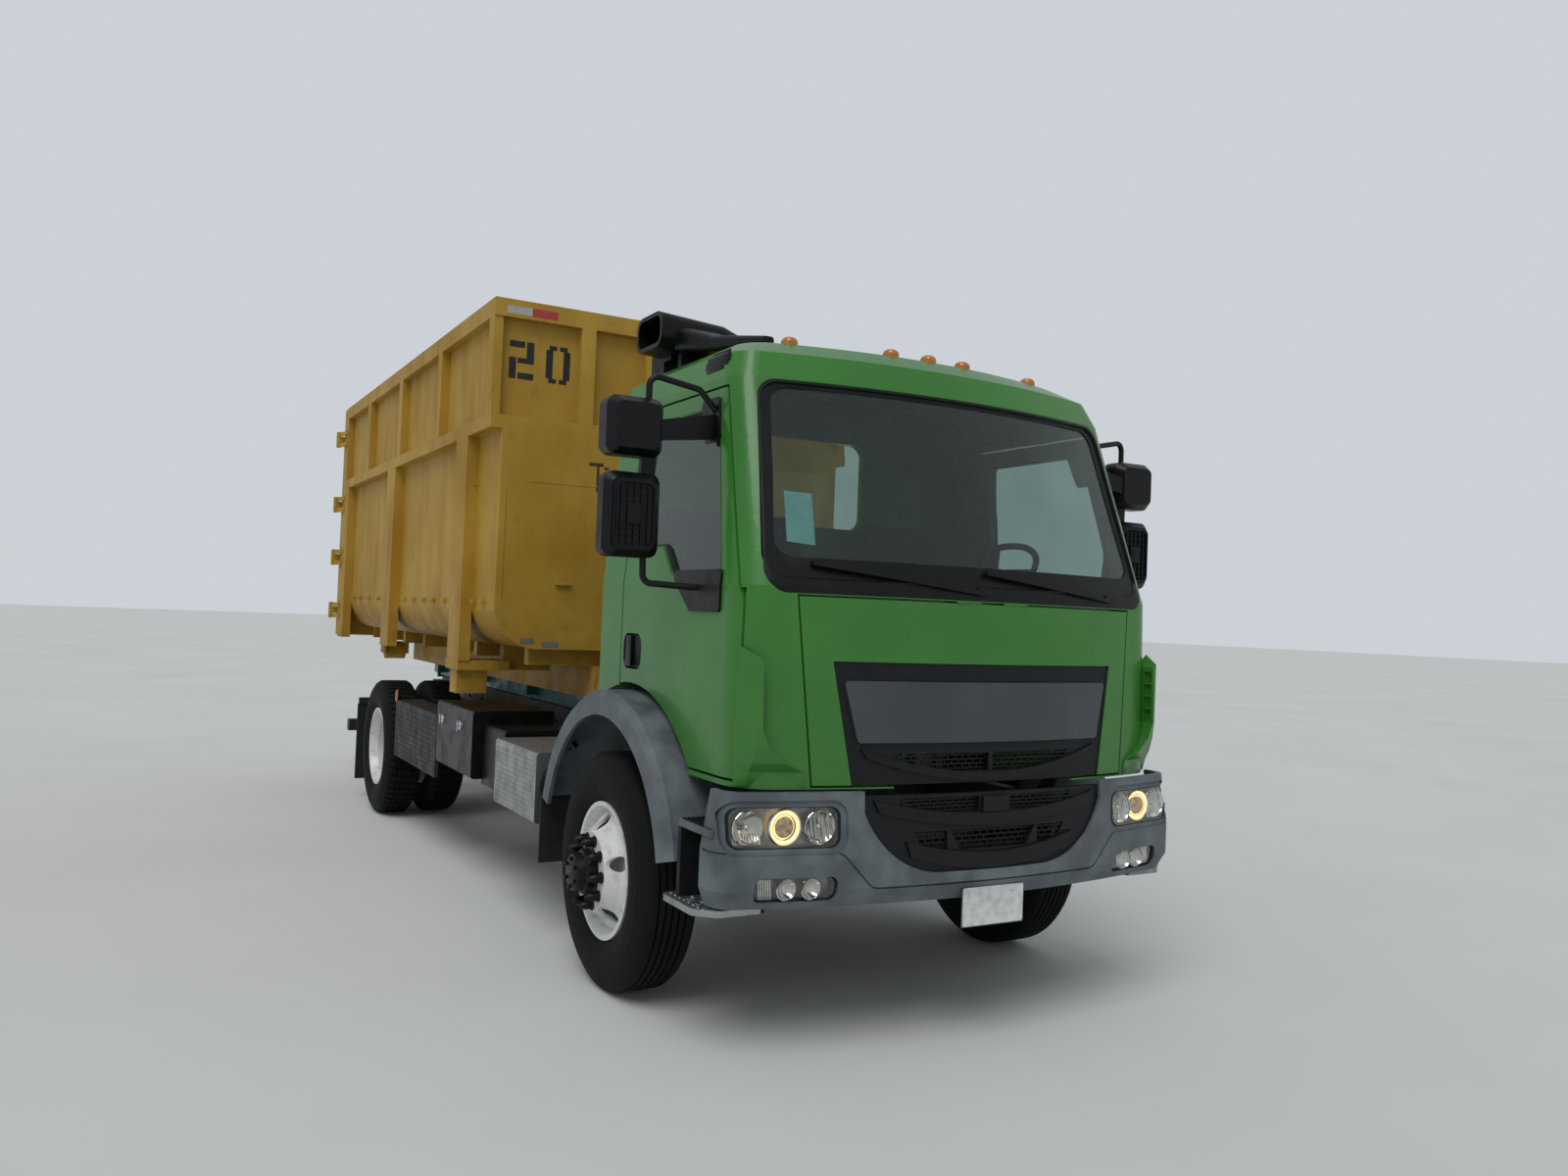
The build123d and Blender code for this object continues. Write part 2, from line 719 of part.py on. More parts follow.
def wheel_arch(radius, mode):
    """The round clearance over both front wheels, right across the cab."""
    pin((X_FA, 0, AXLE_Z), radius, 2 * CAB_HALF + 200, mode=mode)


with BuildPart() as room:
    cab_form([(room_height(row[0]), *row[1:]) for row in CAB_SECTIONS], CAB_WALL)
    wheel_arch(ARCH_R + FLOOR_T, Mode.SUBTRACT)
    bar(
        (CAB_REAR_X - 10, X_FRONT),
        (-TUNNEL_HALF - FLOOR_T, TUNNEL_HALF + FLOOR_T),
        (SHELL_BOTTOM - 10, TUNNEL_TOP + FLOOR_T),
        mode=Mode.SUBTRACT,
    )


def door_outline(side, grow=0.0):
    """Side view of the door, on the cab's skin; grow widens it into the door's opening."""
    with BuildSketch(side_plane(side * (CAB_HALF - 330))) as outline:
        with BuildLine():
            Polyline(
                (DOOR_FRONT_X, DOOR_BOTTOM),
                (DOOR_FRONT_X, BELT_Z - 60),
                (DOOR_FRONT_TOP_X, DOOR_TOP),
                (DOOR_REAR_X, DOOR_TOP),
                (DOOR_REAR_X, DOOR_BOTTOM),
                close=True,
            )
        make_face()
        with Locations((X_FA, AXLE_Z)):
            Circle(ARCH_R + GAP, mode=Mode.SUBTRACT)
        if grow:
            offset(amount=grow, kind=Kind.INTERSECTION)
        else:
            fillet(
                outline.vertices().filter_by(lambda corner: corner.Z > DOOR_TOP - 1),
                radius=40,
            )
    return outline.sketch


WINDOW_FRONT_X = X_FA + 850
WINDOW_FRONT_TOP_X = WINDOW_FRONT_X - 190
WINDOW_REAR_X = DOOR_REAR_X + 92
WINDOW_STEP = 122
WINDOW_STEP_X = X_FA + 400


def window_outline(side, grow=0.0):
    """Side view of the door's window, its lower edge stepped up behind the mirrors."""
    with BuildSketch(side_plane(side * (CAB_HALF - 330))) as outline:
        with BuildLine():
            Polyline(
                (WINDOW_REAR_X, WINDOW_BOTTOM + WINDOW_STEP),
                (WINDOW_STEP_X - WINDOW_STEP, WINDOW_BOTTOM + WINDOW_STEP),
                (WINDOW_STEP_X, WINDOW_BOTTOM),
                (WINDOW_FRONT_X, WINDOW_BOTTOM),
                (WINDOW_FRONT_TOP_X, WINDOW_TOP),
                (WINDOW_REAR_X, WINDOW_TOP),
                close=True,
            )
        make_face()
        fillet(outline.vertices(), radius=36)
        if grow:
            offset(amount=grow)
    return outline.sketch


SKIN_REACH = 700


def screen_outline(grow=0.0):
    """Front view of the windshield opening."""
    with BuildSketch(Plane.YZ.offset(X_FA + 500)) as outline:
        with BuildLine():
            Polyline(
                (-SCREEN_HALF_BOTTOM, SCREEN_BOTTOM),
                (SCREEN_HALF_BOTTOM, SCREEN_BOTTOM),
                (SCREEN_HALF_TOP, SCREEN_TOP_Z - 8),
                (-SCREEN_HALF_TOP, SCREEN_TOP_Z - 8),
                close=True,
            )
        make_face()
        fillet(outline.vertices(), radius=95)
        if grow:
            offset(amount=grow)
    return outline.sketch


REAR_WINDOW_HALF = 350
REAR_WINDOW_SPAN = (2130, 2580)


def rear_window_outline(grow=0.0):
    """The rear wall's window."""
    with BuildSketch(Plane.YZ.offset(CAB_REAR_X - 40)) as outline:
        with Locations((0, sum(REAR_WINDOW_SPAN) / 2)):
            RectangleRounded(
                2 * (REAR_WINDOW_HALF + grow),
                REAR_WINDOW_SPAN[1] - REAR_WINDOW_SPAN[0] + 2 * grow,
                70 + grow,
            )
    return outline.sketch


def flap_outline(grow=0.0):
    """Front view of the lift-up flap between the two corner panels."""
    with BuildSketch(Plane.YZ.offset(X_FA + 900)) as outline:
        with BuildLine():
            Polyline(
                (-FLAP_HALF_BOTTOM - grow, FLAP_BOTTOM - grow),
                (FLAP_HALF_BOTTOM + grow, FLAP_BOTTOM - grow),
                (FLAP_HALF_TOP + grow, FLAP_TOP + grow),
                (-FLAP_HALF_TOP - grow, FLAP_TOP + grow),
                close=True,
            )
        make_face()
    return outline.sketch


def grille_outline(grow=0.0):
    """Front view of the upper grille's opening in the flap."""
    with BuildSketch(Plane.YZ.offset(X_FA + 900)) as outline:
        with BuildLine():
            Polyline(
                (-GRILLE_HALF_BOTTOM - grow, FLAP_BOTTOM - 30),
                (GRILLE_HALF_BOTTOM + grow, FLAP_BOTTOM - 30),
                (GRILLE_HALF_TOP + grow, GRILLE_TOP + grow),
                (-GRILLE_HALF_TOP - grow, GRILLE_TOP + grow),
                close=True,
            )
        make_face()
    return outline.sketch


def cab_band(rows, depth, thickness):
    """Put a skin into the current part, its outside a given depth under the cab's, front and sides."""
    cab_form(rows, depth)
    cab_form(rows, depth + thickness, Mode.SUBTRACT)


FRONT_ROWS = CAB_SECTIONS[:2]
SCREEN_ROWS = CAB_SECTIONS[1:3]
with BuildPart() as flap_pocket:
    cab_band(FRONT_ROWS, -5, FLAP_T + BULKHEAD_GAP + 5)
    extrude(flap_outline(GAP), amount=SKIN_REACH, mode=Mode.INTERSECT)

# Openings for the doors, through the wall only, so that the floor runs out to them,
# and round the hinge line as deep as the door's inner edge swings
door_slots = []
for side in SIDES:
    with BuildPart() as door_slot:
        cab_band(CAB_SECTIONS, -5, CAB_WALL + DOOR_GAP + 5)
        extrude(door_outline(side, DOOR_GAP), amount=-side * 500, mode=Mode.INTERSECT)
        with BuildSketch(Plane.XY.offset(DOOR_BOTTOM - DOOR_GAP)):
            with Locations((DOOR_FRONT_X, side * CAB_HALF)):
                Circle(DOOR_SWING_R)
            with Locations((DOOR_FRONT_X + DOOR_GAP + DOOR_SWING_R, side * CAB_HALF)):
                Rectangle(2 * DOOR_SWING_R, 3 * DOOR_SWING_R, mode=Mode.SUBTRACT)
        extrude(amount=BELT_Z - DOOR_BOTTOM)
    door_slots.append(door_slot.part)

with BuildPart() as cab_shell:
    cab_form(CAB_SECTIONS)
    add(room.part, mode=Mode.SUBTRACT)
    wheel_arch(ARCH_R, Mode.SUBTRACT)
    bar(
        (CAB_REAR_X - 10, X_FRONT),
        (-TUNNEL_HALF, TUNNEL_HALF),
        (SHELL_BOTTOM - 10, TUNNEL_TOP),
        mode=Mode.SUBTRACT,
    )
    for slot in door_slots:
        add(slot, mode=Mode.SUBTRACT)
    extrude(screen_outline(), amount=SKIN_REACH, mode=Mode.SUBTRACT)
    extrude(rear_window_outline(), amount=150, mode=Mode.SUBTRACT)
    add(flap_pocket.part, mode=Mode.SUBTRACT)
    # Leaves of the doors' hidden hinges, in the seam ahead of the door
    for side in SIDES:
        for z in DOOR_LEAF_HEIGHTS:
            bar(
                (DOOR_FRONT_X + SEAT, DOOR_FRONT_X + DOOR_GAP + 2),
                across(side, CAB_HALF - 80, CAB_HALF - 50),
                (z - 30, z + 30),
            )
    # Pins of the front flap's hinges, in the seam over the flap
    for side in SIDES:
        pin((FLAP_HINGE_X, side * FLAP_HINGE_Y, FLAP_HINGE_Z), FLAP_PIN_R, FLAP_PIN_LEN)
    for side in SIDES:
        # Lug that hangs from the tunnel's side down to the pivot pin
        with BuildSketch(side_plane(side * TILT_LUG_Y)):
            with BuildLine():
                Polyline(
                    (TILT_X - 60, TUNNEL_TOP + 2),
                    (TILT_X - 26, TILT_Z),
                )
                ThreePointArc(
                    (TILT_X - 26, TILT_Z), (TILT_X, TILT_Z - 26), (TILT_X + 26, TILT_Z)
                )
                Polyline(
                    (TILT_X + 26, TILT_Z),
                    (TILT_X + 26, TUNNEL_TOP + 2),
                    (TILT_X - 60, TUNNEL_TOP + 2),
                )
            make_face()
        extrude(amount=side * TILT_LUG_T)
        pin(
            (TILT_X, side * (TILT_LUG_Y - TILT_LUG_T / 2), TILT_Z),
            TILT_PIN_R + SEAT,
            4 * TILT_LUG_T,
            mode=Mode.SUBTRACT,
        )
save(cab_shell, "cab_shell")


def bowed_front(y, height):
    """How far forward the cab's bowed front stands at a distance off the centre line."""
    (low, low_x, half, _), (high, high_x, _, _) = FRONT_ROWS
    front = low_x + (high_x - low_x) * (height - low) / (high - low)
    radius = (half**2 + CAB_BOW**2) / (2 * CAB_BOW)
    return front - radius + sqrt(radius**2 - y**2)


# Corner deflectors: wedges from the doors' front seams that square off the cab's round corners
# columns: height, ridge's outer point as x and y, ridge's inner y, its distance off the front
DEFLECTOR_ROWS = (
    (SHELL_BOTTOM + 8, 1046, 1024, 812, 4),
    (1086, 1064, 1024, 826, 10),
    (1120, 1086, 1021, 905, 28),
    (1180, 1106, 1018, 970, 44),
    (1250, 1117, 1016, 1000, 54),
    (1600, 1117, 1016, 1000, 54),
)
DEFLECTOR_REAR_X = X_FA + 1014
LOUVRES = 4
LOUVRE_PITCH = 56
LOUVRE_BOTTOM = 1262
with BuildPart() as corner_deflectors:
    for side in SIDES:
        rows = []
        for height, ridge_x, ridge_y, inner_y, proud in DEFLECTOR_ROWS:
            inner_x = bowed_front(inner_y, height)
            with BuildSketch(Plane.XY.offset(height)) as row:
                with BuildLine():
                    Polyline(
                        (DEFLECTOR_REAR_X, side * 1022),
                        (DEFLECTOR_REAR_X, side * (CAB_HALF - 5)),
                        (X_FA + ridge_x, side * ridge_y),
                        (inner_x + proud, side * inner_y),
                        (inner_x - 26, side * inner_y),
                        close=True,
                    )
                make_face()
            rows.append(row.sketch)
        loft(rows, ruled=True)
        # Ledge that falls from the door's seam to the ridge
        with BuildSketch(Plane.YZ.offset(X_FA + 900)) as ledge:
            with BuildLine():
                Polyline(
                    (side * 900, 1470),
                    (side * 1000, 1496),
                    (side * 1100, 1592),
                    (side * 1100, 1700),
                    (side * 900, 1700),
                    close=True,
                )
            make_face()
        extrude(ledge.sketch, amount=SKIN_REACH, mode=Mode.SUBTRACT)
        for louvre in range(LOUVRES):
            z = LOUVRE_BOTTOM + louvre * LOUVRE_PITCH
            bar(
                (X_FA + 1060, X_FA + 1106),
                across(side, 990, 1014),
                (z, z + LOUVRE_PITCH - 9),
                mode=Mode.SUBTRACT,
            )
    cab_form(FRONT_ROWS, -SEAT, Mode.SUBTRACT)
save(corner_deflectors, "corner_deflectors")

with BuildPart() as front_flap:
    cab_band(FRONT_ROWS, 0, FLAP_T)
    extrude(flap_outline(), amount=SKIN_REACH, mode=Mode.INTERSECT)
    extrude(grille_outline(), amount=SKIN_REACH, mode=Mode.SUBTRACT)
save(front_flap, "front_flap")

# Grilles: black frames with meshed slots, and lips under the slots that bend up at both ends
MESH_ROWS = 4
SLOT_LEAN = 46
GRILLE_RECESS = 6
# columns: inner end, outer end, bottom, top
UPPER_SLOTS = ((10, 430, 1082, 1152),)
LOWER_SLOTS = ((78, 425, 928, 986), (0, 214, 782, 858), (228, 380, 782, 858))
# columns: half width, underside at the middle, thickness, rise to the ends
UPPER_LIPS = ((596, FLAP_BOTTOM + 6, 34, 96),)
LOWER_LIPS = ((560, 874, 46, 62), (420, LOWER_GRILLE_BOTTOM + 6, 62, 56))


def meshed_slots(slots, mesh_x):
    """Cut slots, alike on both sides, out of the current part and put bars behind them."""
    for inner, outer, low, high in slots:
        for side in SIDES:
            with BuildSketch(Plane.YZ.offset(X_FA + 900)) as slot:
                with BuildLine():
                    Polyline(
                        (side * inner, high),
                        (side * outer, high),
                        (side * (outer - SLOT_LEAN), low),
                        (side * inner, low),
                        close=True,
                    )
                make_face()
            extrude(slot.sketch, amount=SKIN_REACH, mode=Mode.SUBTRACT)
    for low, high in sorted({slot[2:] for slot in slots}):
        reach = max(slot[1] for slot in slots if slot[2:] == (low, high))
        for row in range(MESH_ROWS):
            z = low + (row + 0.5) * (high - low) / MESH_ROWS
            bar((mesh_x, mesh_x + 8), (-reach - 14, reach + 14), (z - 3, z + 3))


def lips_outline(lips):
    """Front view of the lips."""
    with BuildSketch(Plane.YZ.offset(X_FA + 900)) as outline:
        for half, foot, thickness, rise in lips:
            with BuildLine():
                ThreePointArc(
                    (-half, foot + rise + thickness), (0, foot + thickness), (half, foot + rise + thickness)
                )
                Line((half, foot + rise + thickness), (half - 24, foot + rise))
                ThreePointArc((half - 24, foot + rise), (0, foot), (24 - half, foot + rise))
                Line((24 - half, foot + rise), (-half, foot + rise + thickness))
            make_face()
    return outline.sketch


with BuildPart() as upper_lips:
    cab_band(FRONT_ROWS, -5, GRILLE_RECESS + 10)
    extrude(lips_outline(UPPER_LIPS), amount=SKIN_REACH, mode=Mode.INTERSECT)

with BuildPart() as upper_grille:
    cab_band(FRONT_ROWS, GRILLE_RECESS, FLAP_T - GRILLE_RECESS)
    extrude(grille_outline(-SEAT), amount=SKIN_REACH, mode=Mode.INTERSECT)
    bar(
        (X_FA + 900, X_FRONT + 100),
        (-CAB_HALF, CAB_HALF),
        (SHELL_BOTTOM - 20, FLAP_BOTTOM),
        mode=Mode.SUBTRACT,
    )
    meshed_slots(UPPER_SLOTS, X_FA + 1180)
    add(upper_lips.part)
save(upper_grille, "upper_grille")

with BuildPart() as name_panel:
    cab_band(FRONT_ROWS, -6, 12 - SEAT)
    with BuildSketch(Plane.YZ.offset(X_FA + 900)) as panel_face:
        with BuildLine():
            Polyline(
                (-610, NAME_PANEL_BOTTOM),
                (610, NAME_PANEL_BOTTOM),
                (668, NAME_PANEL_TOP),
                (-668, NAME_PANEL_TOP),
                close=True,
            )
        make_face()
        fillet(panel_face.vertices(), radius=16)
    extrude(amount=SKIN_REACH, mode=Mode.INTERSECT)
save(name_panel, "name_panel")

with BuildPart() as windshield:
    cab_band(SCREEN_ROWS, 12, GLASS_T)
    extrude(screen_outline(-1), amount=SKIN_REACH, mode=Mode.INTERSECT)

with BuildPart() as rear_glass:
    extrude(rear_window_outline(-1), amount=200)
    bar(
        (CAB_REAR_X + 20, CAB_REAR_X + 20 + GLASS_T),
        (-CAB_HALF, CAB_HALF),
        (SHELL_BOTTOM, ROOF_Z),
        mode=Mode.INTERSECT,
    )

with BuildPart() as cab_glass:
    add(windshield.part)
    add(rear_glass.part)
save(cab_glass, "cab_glass")

for side, hand in ((1, "left"), (-1, "right")):
    with BuildPart() as door:
        cab_band(CAB_SECTIONS, 0, CAB_WALL)
        extrude(door_outline(side), amount=-side * 500, mode=Mode.INTERSECT)
        extrude(window_outline(side), amount=-side * 500, mode=Mode.SUBTRACT)
        # Recess behind the upright pull handle
        with BuildSketch(side_plane(side * (CAB_HALF - HANDLE_DEPTH))) as recess:
            with Locations((HANDLE_X, HANDLE_Z)):
                RectangleRounded(HANDLE_W, HANDLE_H, 48)
        extrude(amount=-side * (HANDLE_DEPTH + 20), mode=Mode.SUBTRACT)
        bar(
            (HANDLE_X - HANDLE_W / 2 + 30, HANDLE_X - HANDLE_W / 2 + 78),
            across(side, CAB_HALF - HANDLE_DEPTH - 1, CAB_HALF - 1),
            (HANDLE_Z - HANDLE_H / 2 + 12, HANDLE_Z + HANDLE_H / 2 - 12),
        )
    save(door, f"door_{hand}")

    with BuildPart() as door_glass:
        cab_band(SCREEN_ROWS, 22, DOOR_GLASS_T)
        extrude(window_outline(side, -1), amount=-side * 500, mode=Mode.INTERSECT)
    save(door_glass, f"door_glass_{hand}")

# Mirrors: two heads, one over the other, on a tube and a broad arm from two plates on the door
MIRROR_X = X_FA + 600
MIRROR_Y = 1345
MIRROR_W = 236
MIRROR_JOIN_Y = MIRROR_Y - 62
# columns: bottom, top, thickness
MIRROR_HEADS = (
    (1872, 2204, 90),
    (2268, 2500, 120),
)
TUBE_R = 13
PLATE_PROUD = 10
PATCH_BOTTOM = 1670
COVER_BOTTOM = 2350
COVER_TOP = DOOR_TOP - 34


def mirror_plates_outline():
    """Side view of the two black plates on the door: under the window and over its front corner."""
    slope = (WINDOW_FRONT_X - WINDOW_FRONT_TOP_X) / (WINDOW_TOP - WINDOW_BOTTOM)
    low_x = WINDOW_FRONT_X - slope * (COVER_BOTTOM - WINDOW_BOTTOM)
    high_x = WINDOW_FRONT_X - slope * (COVER_TOP - WINDOW_BOTTOM)
    with BuildSketch(side_plane(CAB_HALF - 330)) as outline:
        with BuildLine():
            Polyline(
                (WINDOW_STEP_X, WINDOW_BOTTOM + 14),
                (WINDOW_STEP_X + 205, PATCH_BOTTOM),
                (WINDOW_FRONT_X + 22, PATCH_BOTTOM),
                (WINDOW_FRONT_X + 22, WINDOW_BOTTOM + 14),
                close=True,
            )
        make_face()
        with BuildLine():
            Polyline(
                (low_x + 14, COVER_BOTTOM),
                (low_x - 120, COVER_BOTTOM),
                (high_x - 150, COVER_TOP),
                (high_x + 14, COVER_TOP),
                close=True,
            )
        make_face()
        fillet(outline.vertices(), radius=22)
    return outline.sketch


with BuildPart() as mirrors_left:
    cab_band(CAB_SECTIONS[:4], -PLATE_PROUD, PLATE_PROUD - SEAT)
    extrude(mirror_plates_outline(), amount=-500, mode=Mode.INTERSECT)
    cover_y = CAB_HALF - 52
    # Tube looped over the upper head, and the lower one from the patch
    for route_points in (
        (
            (MIRROR_X + 40, cover_y - 8, COVER_TOP - 60),
            (MIRROR_X + 40, cover_y + 70, COVER_TOP + 20),
            (MIRROR_X, MIRROR_JOIN_Y, COVER_TOP + 62),
            (MIRROR_X, MIRROR_JOIN_Y, MIRROR_HEADS[1][1] - 30),
        ),
        (
            (MIRROR_X + 60, CAB_HALF + 2, WINDOW_BOTTOM - 58),
            (MIRROR_X + 10, MIRROR_JOIN_Y, WINDOW_BOTTOM - 48),
            (MIRROR_X, MIRROR_JOIN_Y, MIRROR_HEADS[0][0] + 30),
        ),
    ):
        with BuildLine() as route:
            FilletPolyline(*route_points, radius=36)
        with BuildSketch(Plane(origin=route.wire() @ 0, z_dir=route.wire() % 0)):
            Circle(TUBE_R)
        sweep()
    # The lower tube's end, cut off level with the back of the patch
    bar(
        (MIRROR_X + 30, MIRROR_X + 90),
        (CAB_HALF - 60, CAB_HALF + SEAT),
        (WINDOW_BOTTOM - 72, WINDOW_BOTTOM - 46),
        mode=Mode.SUBTRACT,
    )
    # Broad arm to the upper head, and the flat bar between the heads
    with BuildSketch(Plane.YZ.offset(MIRROR_X + 8)) as arm:
        with BuildLine():
            Polyline(
                (cover_y - 4, COVER_TOP - 72),
                (MIRROR_Y - MIRROR_W / 2 + 20, COVER_TOP - 120),
                (MIRROR_Y - MIRROR_W / 2 + 20, COVER_TOP - 200),
                (cover_y + 6, COVER_BOTTOM + 16),
                close=True,
            )
        make_face()
    extrude(amount=44)
    bar(
        (MIRROR_X - 12, MIRROR_X + 12),
        (MIRROR_JOIN_Y - 24, MIRROR_JOIN_Y + 26),
        (MIRROR_HEADS[0][1] - 20, MIRROR_HEADS[1][0] + 20),
    )
    for bottom, top, depth in MIRROR_HEADS:
        rims = []
        for reach, shrink in ((-0.5, 0), (0.15, 0), (0.5, 26)):
            with BuildSketch(Plane.YZ.offset(MIRROR_X + reach * depth)) as head_rim:
                with Locations((MIRROR_Y, (bottom + top) / 2)):
                    RectangleRounded(
                        MIRROR_W - 2 * shrink, top - bottom - 2 * shrink, 42 - shrink / 2
                    )
            rims.append(head_rim.sketch)
        loft(rims, ruled=True)
save(mirrors_left, "mirrors_left")

with BuildPart() as mirrors_right:
    mirror(mirrors_left.part, about=Plane.XZ)
save(mirrors_right, "mirrors_right")

# Inside the cab
DASH_BOTTOM = 1330
with BuildPart() as dashboard:
    with BuildSketch(side_plane(DASH_HALF)):
        with BuildLine():
            Polyline(
                (X_FA + 860, DASH_BOTTOM),
                (X_FA + 700, DASH_BOTTOM + 70),
                (X_FA + 640, DASH_BOTTOM + 310),
                (X_FA + 690, DASH_BOTTOM + 410),
                (X_FA + 1000, DASH_BOTTOM + 450),
                (X_FA + 960, DASH_BOTTOM),
                close=True,
            )
        make_face()
    extrude(amount=2 * DASH_HALF)
    cab_form(CAB_SECTIONS[:3], CAB_WALL + SEAT, Mode.INTERSECT)
    # Brackets down to the floor over the engine
    for side in (1, -1):
        bar(
            (X_FA + 870, X_FA + 940),
            across(side, TUNNEL_HALF - 120, TUNNEL_HALF - 60),
            (TUNNEL_TOP + FLOOR_T + SEAT, DASH_BOTTOM + 10),
        )
    # Steering column
    column_top = Vector(X_FA + 590, 500, 1860)
    column_foot = Vector(X_FA + 760, 500, 1640)
    with BuildSketch(Plane(origin=column_foot, z_dir=column_top - column_foot)):
        Circle(42)
    extrude(amount=(column_top - column_foot).length)
save(dashboard, "dashboard")

WHEEL_RIM_R = 225
with BuildPart() as steering_wheel:
    lean = column_top - column_foot
    hub_plane = Plane(origin=column_top + lean.normalized() * SEAT, z_dir=lean)
    with BuildSketch(hub_plane):
        Circle(62)
    extrude(amount=34)
    with Locations(hub_plane.offset(34)):
        Torus(WHEEL_RIM_R, 15)
    for turn in (90, 210, 330):
        spoke_plane = hub_plane.offset(14)
        with BuildSketch(spoke_plane):
            with Locations((WHEEL_RIM_R / 2 * cos(radians(turn)), WHEEL_RIM_R / 2 * sin(radians(turn)))):
                Rectangle(WHEEL_RIM_R - 8, 36, rotation=turn)
        extrude(amount=20)
save(steering_wheel, "steering_wheel")

SEAT_W = 500
with BuildPart() as seats:
    for centre_y, width in ((520, SEAT_W), (-470, 760)):
        with BuildSketch(side_plane(centre_y + width / 2)) as cushion:
            with BuildLine():
                Polyline(
                    (X_FA + 330, 1500),
                    (X_FA + 335, 1640),
                    (X_FA - 50, 1620),
                    (X_FA - 150, 2180),
                    (X_FA - 240, 2180),
                    (X_FA - 180, 1480),
                    close=True,
                )
            make_face()
            fillet(cushion.vertices(), radius=38)
        extrude(amount=width)
        bar(
            (X_FA - 150, X_FA + 300),
            (centre_y - width / 2 + 60, centre_y + width / 2 - 60),
            (AXLE_Z + ARCH_R + FLOOR_T + SEAT, 1500),
        )
save(seats, "seats")

# Roof: marker lamps, air intake
LAMP_R = 36
LAMP_H = 40
LAMP_SPREAD = (0, 195, 655)
LAMP_SETBACK = 48
with BuildPart() as roof_lamps:
    for offset_y in LAMP_SPREAD:
        for side in SIDES if offset_y else (1,):
            x = CAB_SECTIONS[-1][1] - LAMP_SETBACK - CAB_BOW * (offset_y / CAB_SECTIONS[-1][2]) ** 2
            with Locations((x, side * offset_y, ROOF_Z + SEAT + LAMP_H / 2)):
                Cylinder(LAMP_R, LAMP_H)
    fillet(roof_lamps.faces().group_by(Axis.Z)[-1].edges(), radius=LAMP_H * 0.6)
save(roof_lamps, "roof_lamps")

with BuildPart() as air_intake:
    # Mouth facing the right, drawn down to a flat tail over the roof
    with BuildSketch(Plane.XZ.offset(905)):
        with Locations((X_FA - 330, 3000)):
            RectangleRounded(300, 170, 60)
    with BuildSketch(Plane.XZ.offset(560)):
        with Locations((X_FA - 330, 2970)):
            RectangleRounded(280, 190, 60)
    with BuildSketch(Plane.XZ.offset(170)):
        with Locations((X_FA - 330, 2900)):
            RectangleRounded(200, 60, 25)
    loft(ruled=True)
    with BuildSketch(Plane.XZ.offset(906)):
        with Locations((X_FA - 330, 3000)):
            RectangleRounded(260, 130, 44)
    extrude(amount=-120, mode=Mode.SUBTRACT)
    # Neck drawn out along the roof's edge, on a foot at its front end
    with BuildSketch(Plane.YZ.offset(X_FA - 260)):
        with Locations((-720, 2975)):
            RectangleRounded(250, 130, 40)
    with BuildSketch(Plane.YZ.offset(X_FA + 40)):
        with Locations((-690, 2905)):
            RectangleRounded(150, 76, 30)
    with BuildSketch(Plane.YZ.offset(X_FA + 420)):
        with Locations((-660, 2862)):
            RectangleRounded(56, 34, 14)
    loft(ruled=True)
    bar((X_FA + 380, X_FA + 410), (-675, -645), (ROOF_Z + SEAT, 2850))
    # Stack down behind the cab's rear wall
    bar((CAB_REAR_X - 150, CAB_REAR_X - SEAT), (-800, -560), (1500, 2920))
    bar((CAB_REAR_X - 150, X_FA - 300), (-800, -560), (2880, 2930))
    for x, y in ((X_FA - 240, -240), (X_FA - 240, -760)):
        bar((x - 20, x + 20), (y - 20, y + 20), (ROOF_Z + SEAT, 2930))
save(air_intake, "air_intake")

WIPER_PROUD = 14
# Each wiper's spindle and the far end of its blade, as (y, z)
WIPERS = (((-60, 1786), (-790, 1872)), ((700, 1786), (-20, 1872)))
with BuildPart() as wipers:
    cab_band(SCREEN_ROWS, -WIPER_PROUD, WIPER_PROUD - SEAT)
    with BuildSketch(Plane.YZ.offset(X_FA + 900)) as wiper_face:
        for (root_y, root_z), (tip_y, tip_z) in WIPERS:
            with Locations((root_y, root_z)):
                Circle(26)
            lean = degrees(atan2(tip_z - root_z, tip_y - root_y))
            reach = hypot(tip_z - root_z, tip_y - root_y)
            with Locations(((root_y + tip_y) / 2, (root_z + tip_z) / 2)):
                Rectangle(reach, 18, rotation=lean)
    extrude(amount=SKIN_REACH, mode=Mode.INTERSECT)
save(wipers, "wipers")


# Bumper and its lamps

def bumper_section(height, front_x, half, corner):
    """Outline of the bumper seen from above at one height."""
    shoulder = front_x - BUMPER_BOW
    with BuildSketch(Plane.XY.offset(height)) as plan:
        with BuildLine():
            ThreePointArc((shoulder, half), (front_x, 0), (shoulder, -half))
            Polyline(
                (shoulder, -half), (BUMPER_REAR_X, -half), (BUMPER_REAR_X, half), (shoulder, half)
            )
        make_face()
        fillet(plan.vertices().group_by(Axis.X)[-1], radius=corner)
    return plan.sketch


# columns: height, front face, half width
BUMPER_SECTIONS = (
    (BUMPER_BOTTOM, BUMPER_FRONT_X - 30, BUMPER_HALF - 25),
    (BUMPER_BOTTOM + 70, BUMPER_FRONT_X, BUMPER_HALF),
    (BUMPER_SPLIT, BUMPER_FRONT_X, BUMPER_HALF),
    (BUMPER_TOP, BUMPER_FRONT_X - 8, BUMPER_HALF - 35),
)
# Openings for the lamps; columns: inner edge, outer edge, bottom, top, corner radius
LAMP_OPENINGS = (
    (690, 1118, 812, 964, 40),
    (700, 1018, 616, 708, 30),
)


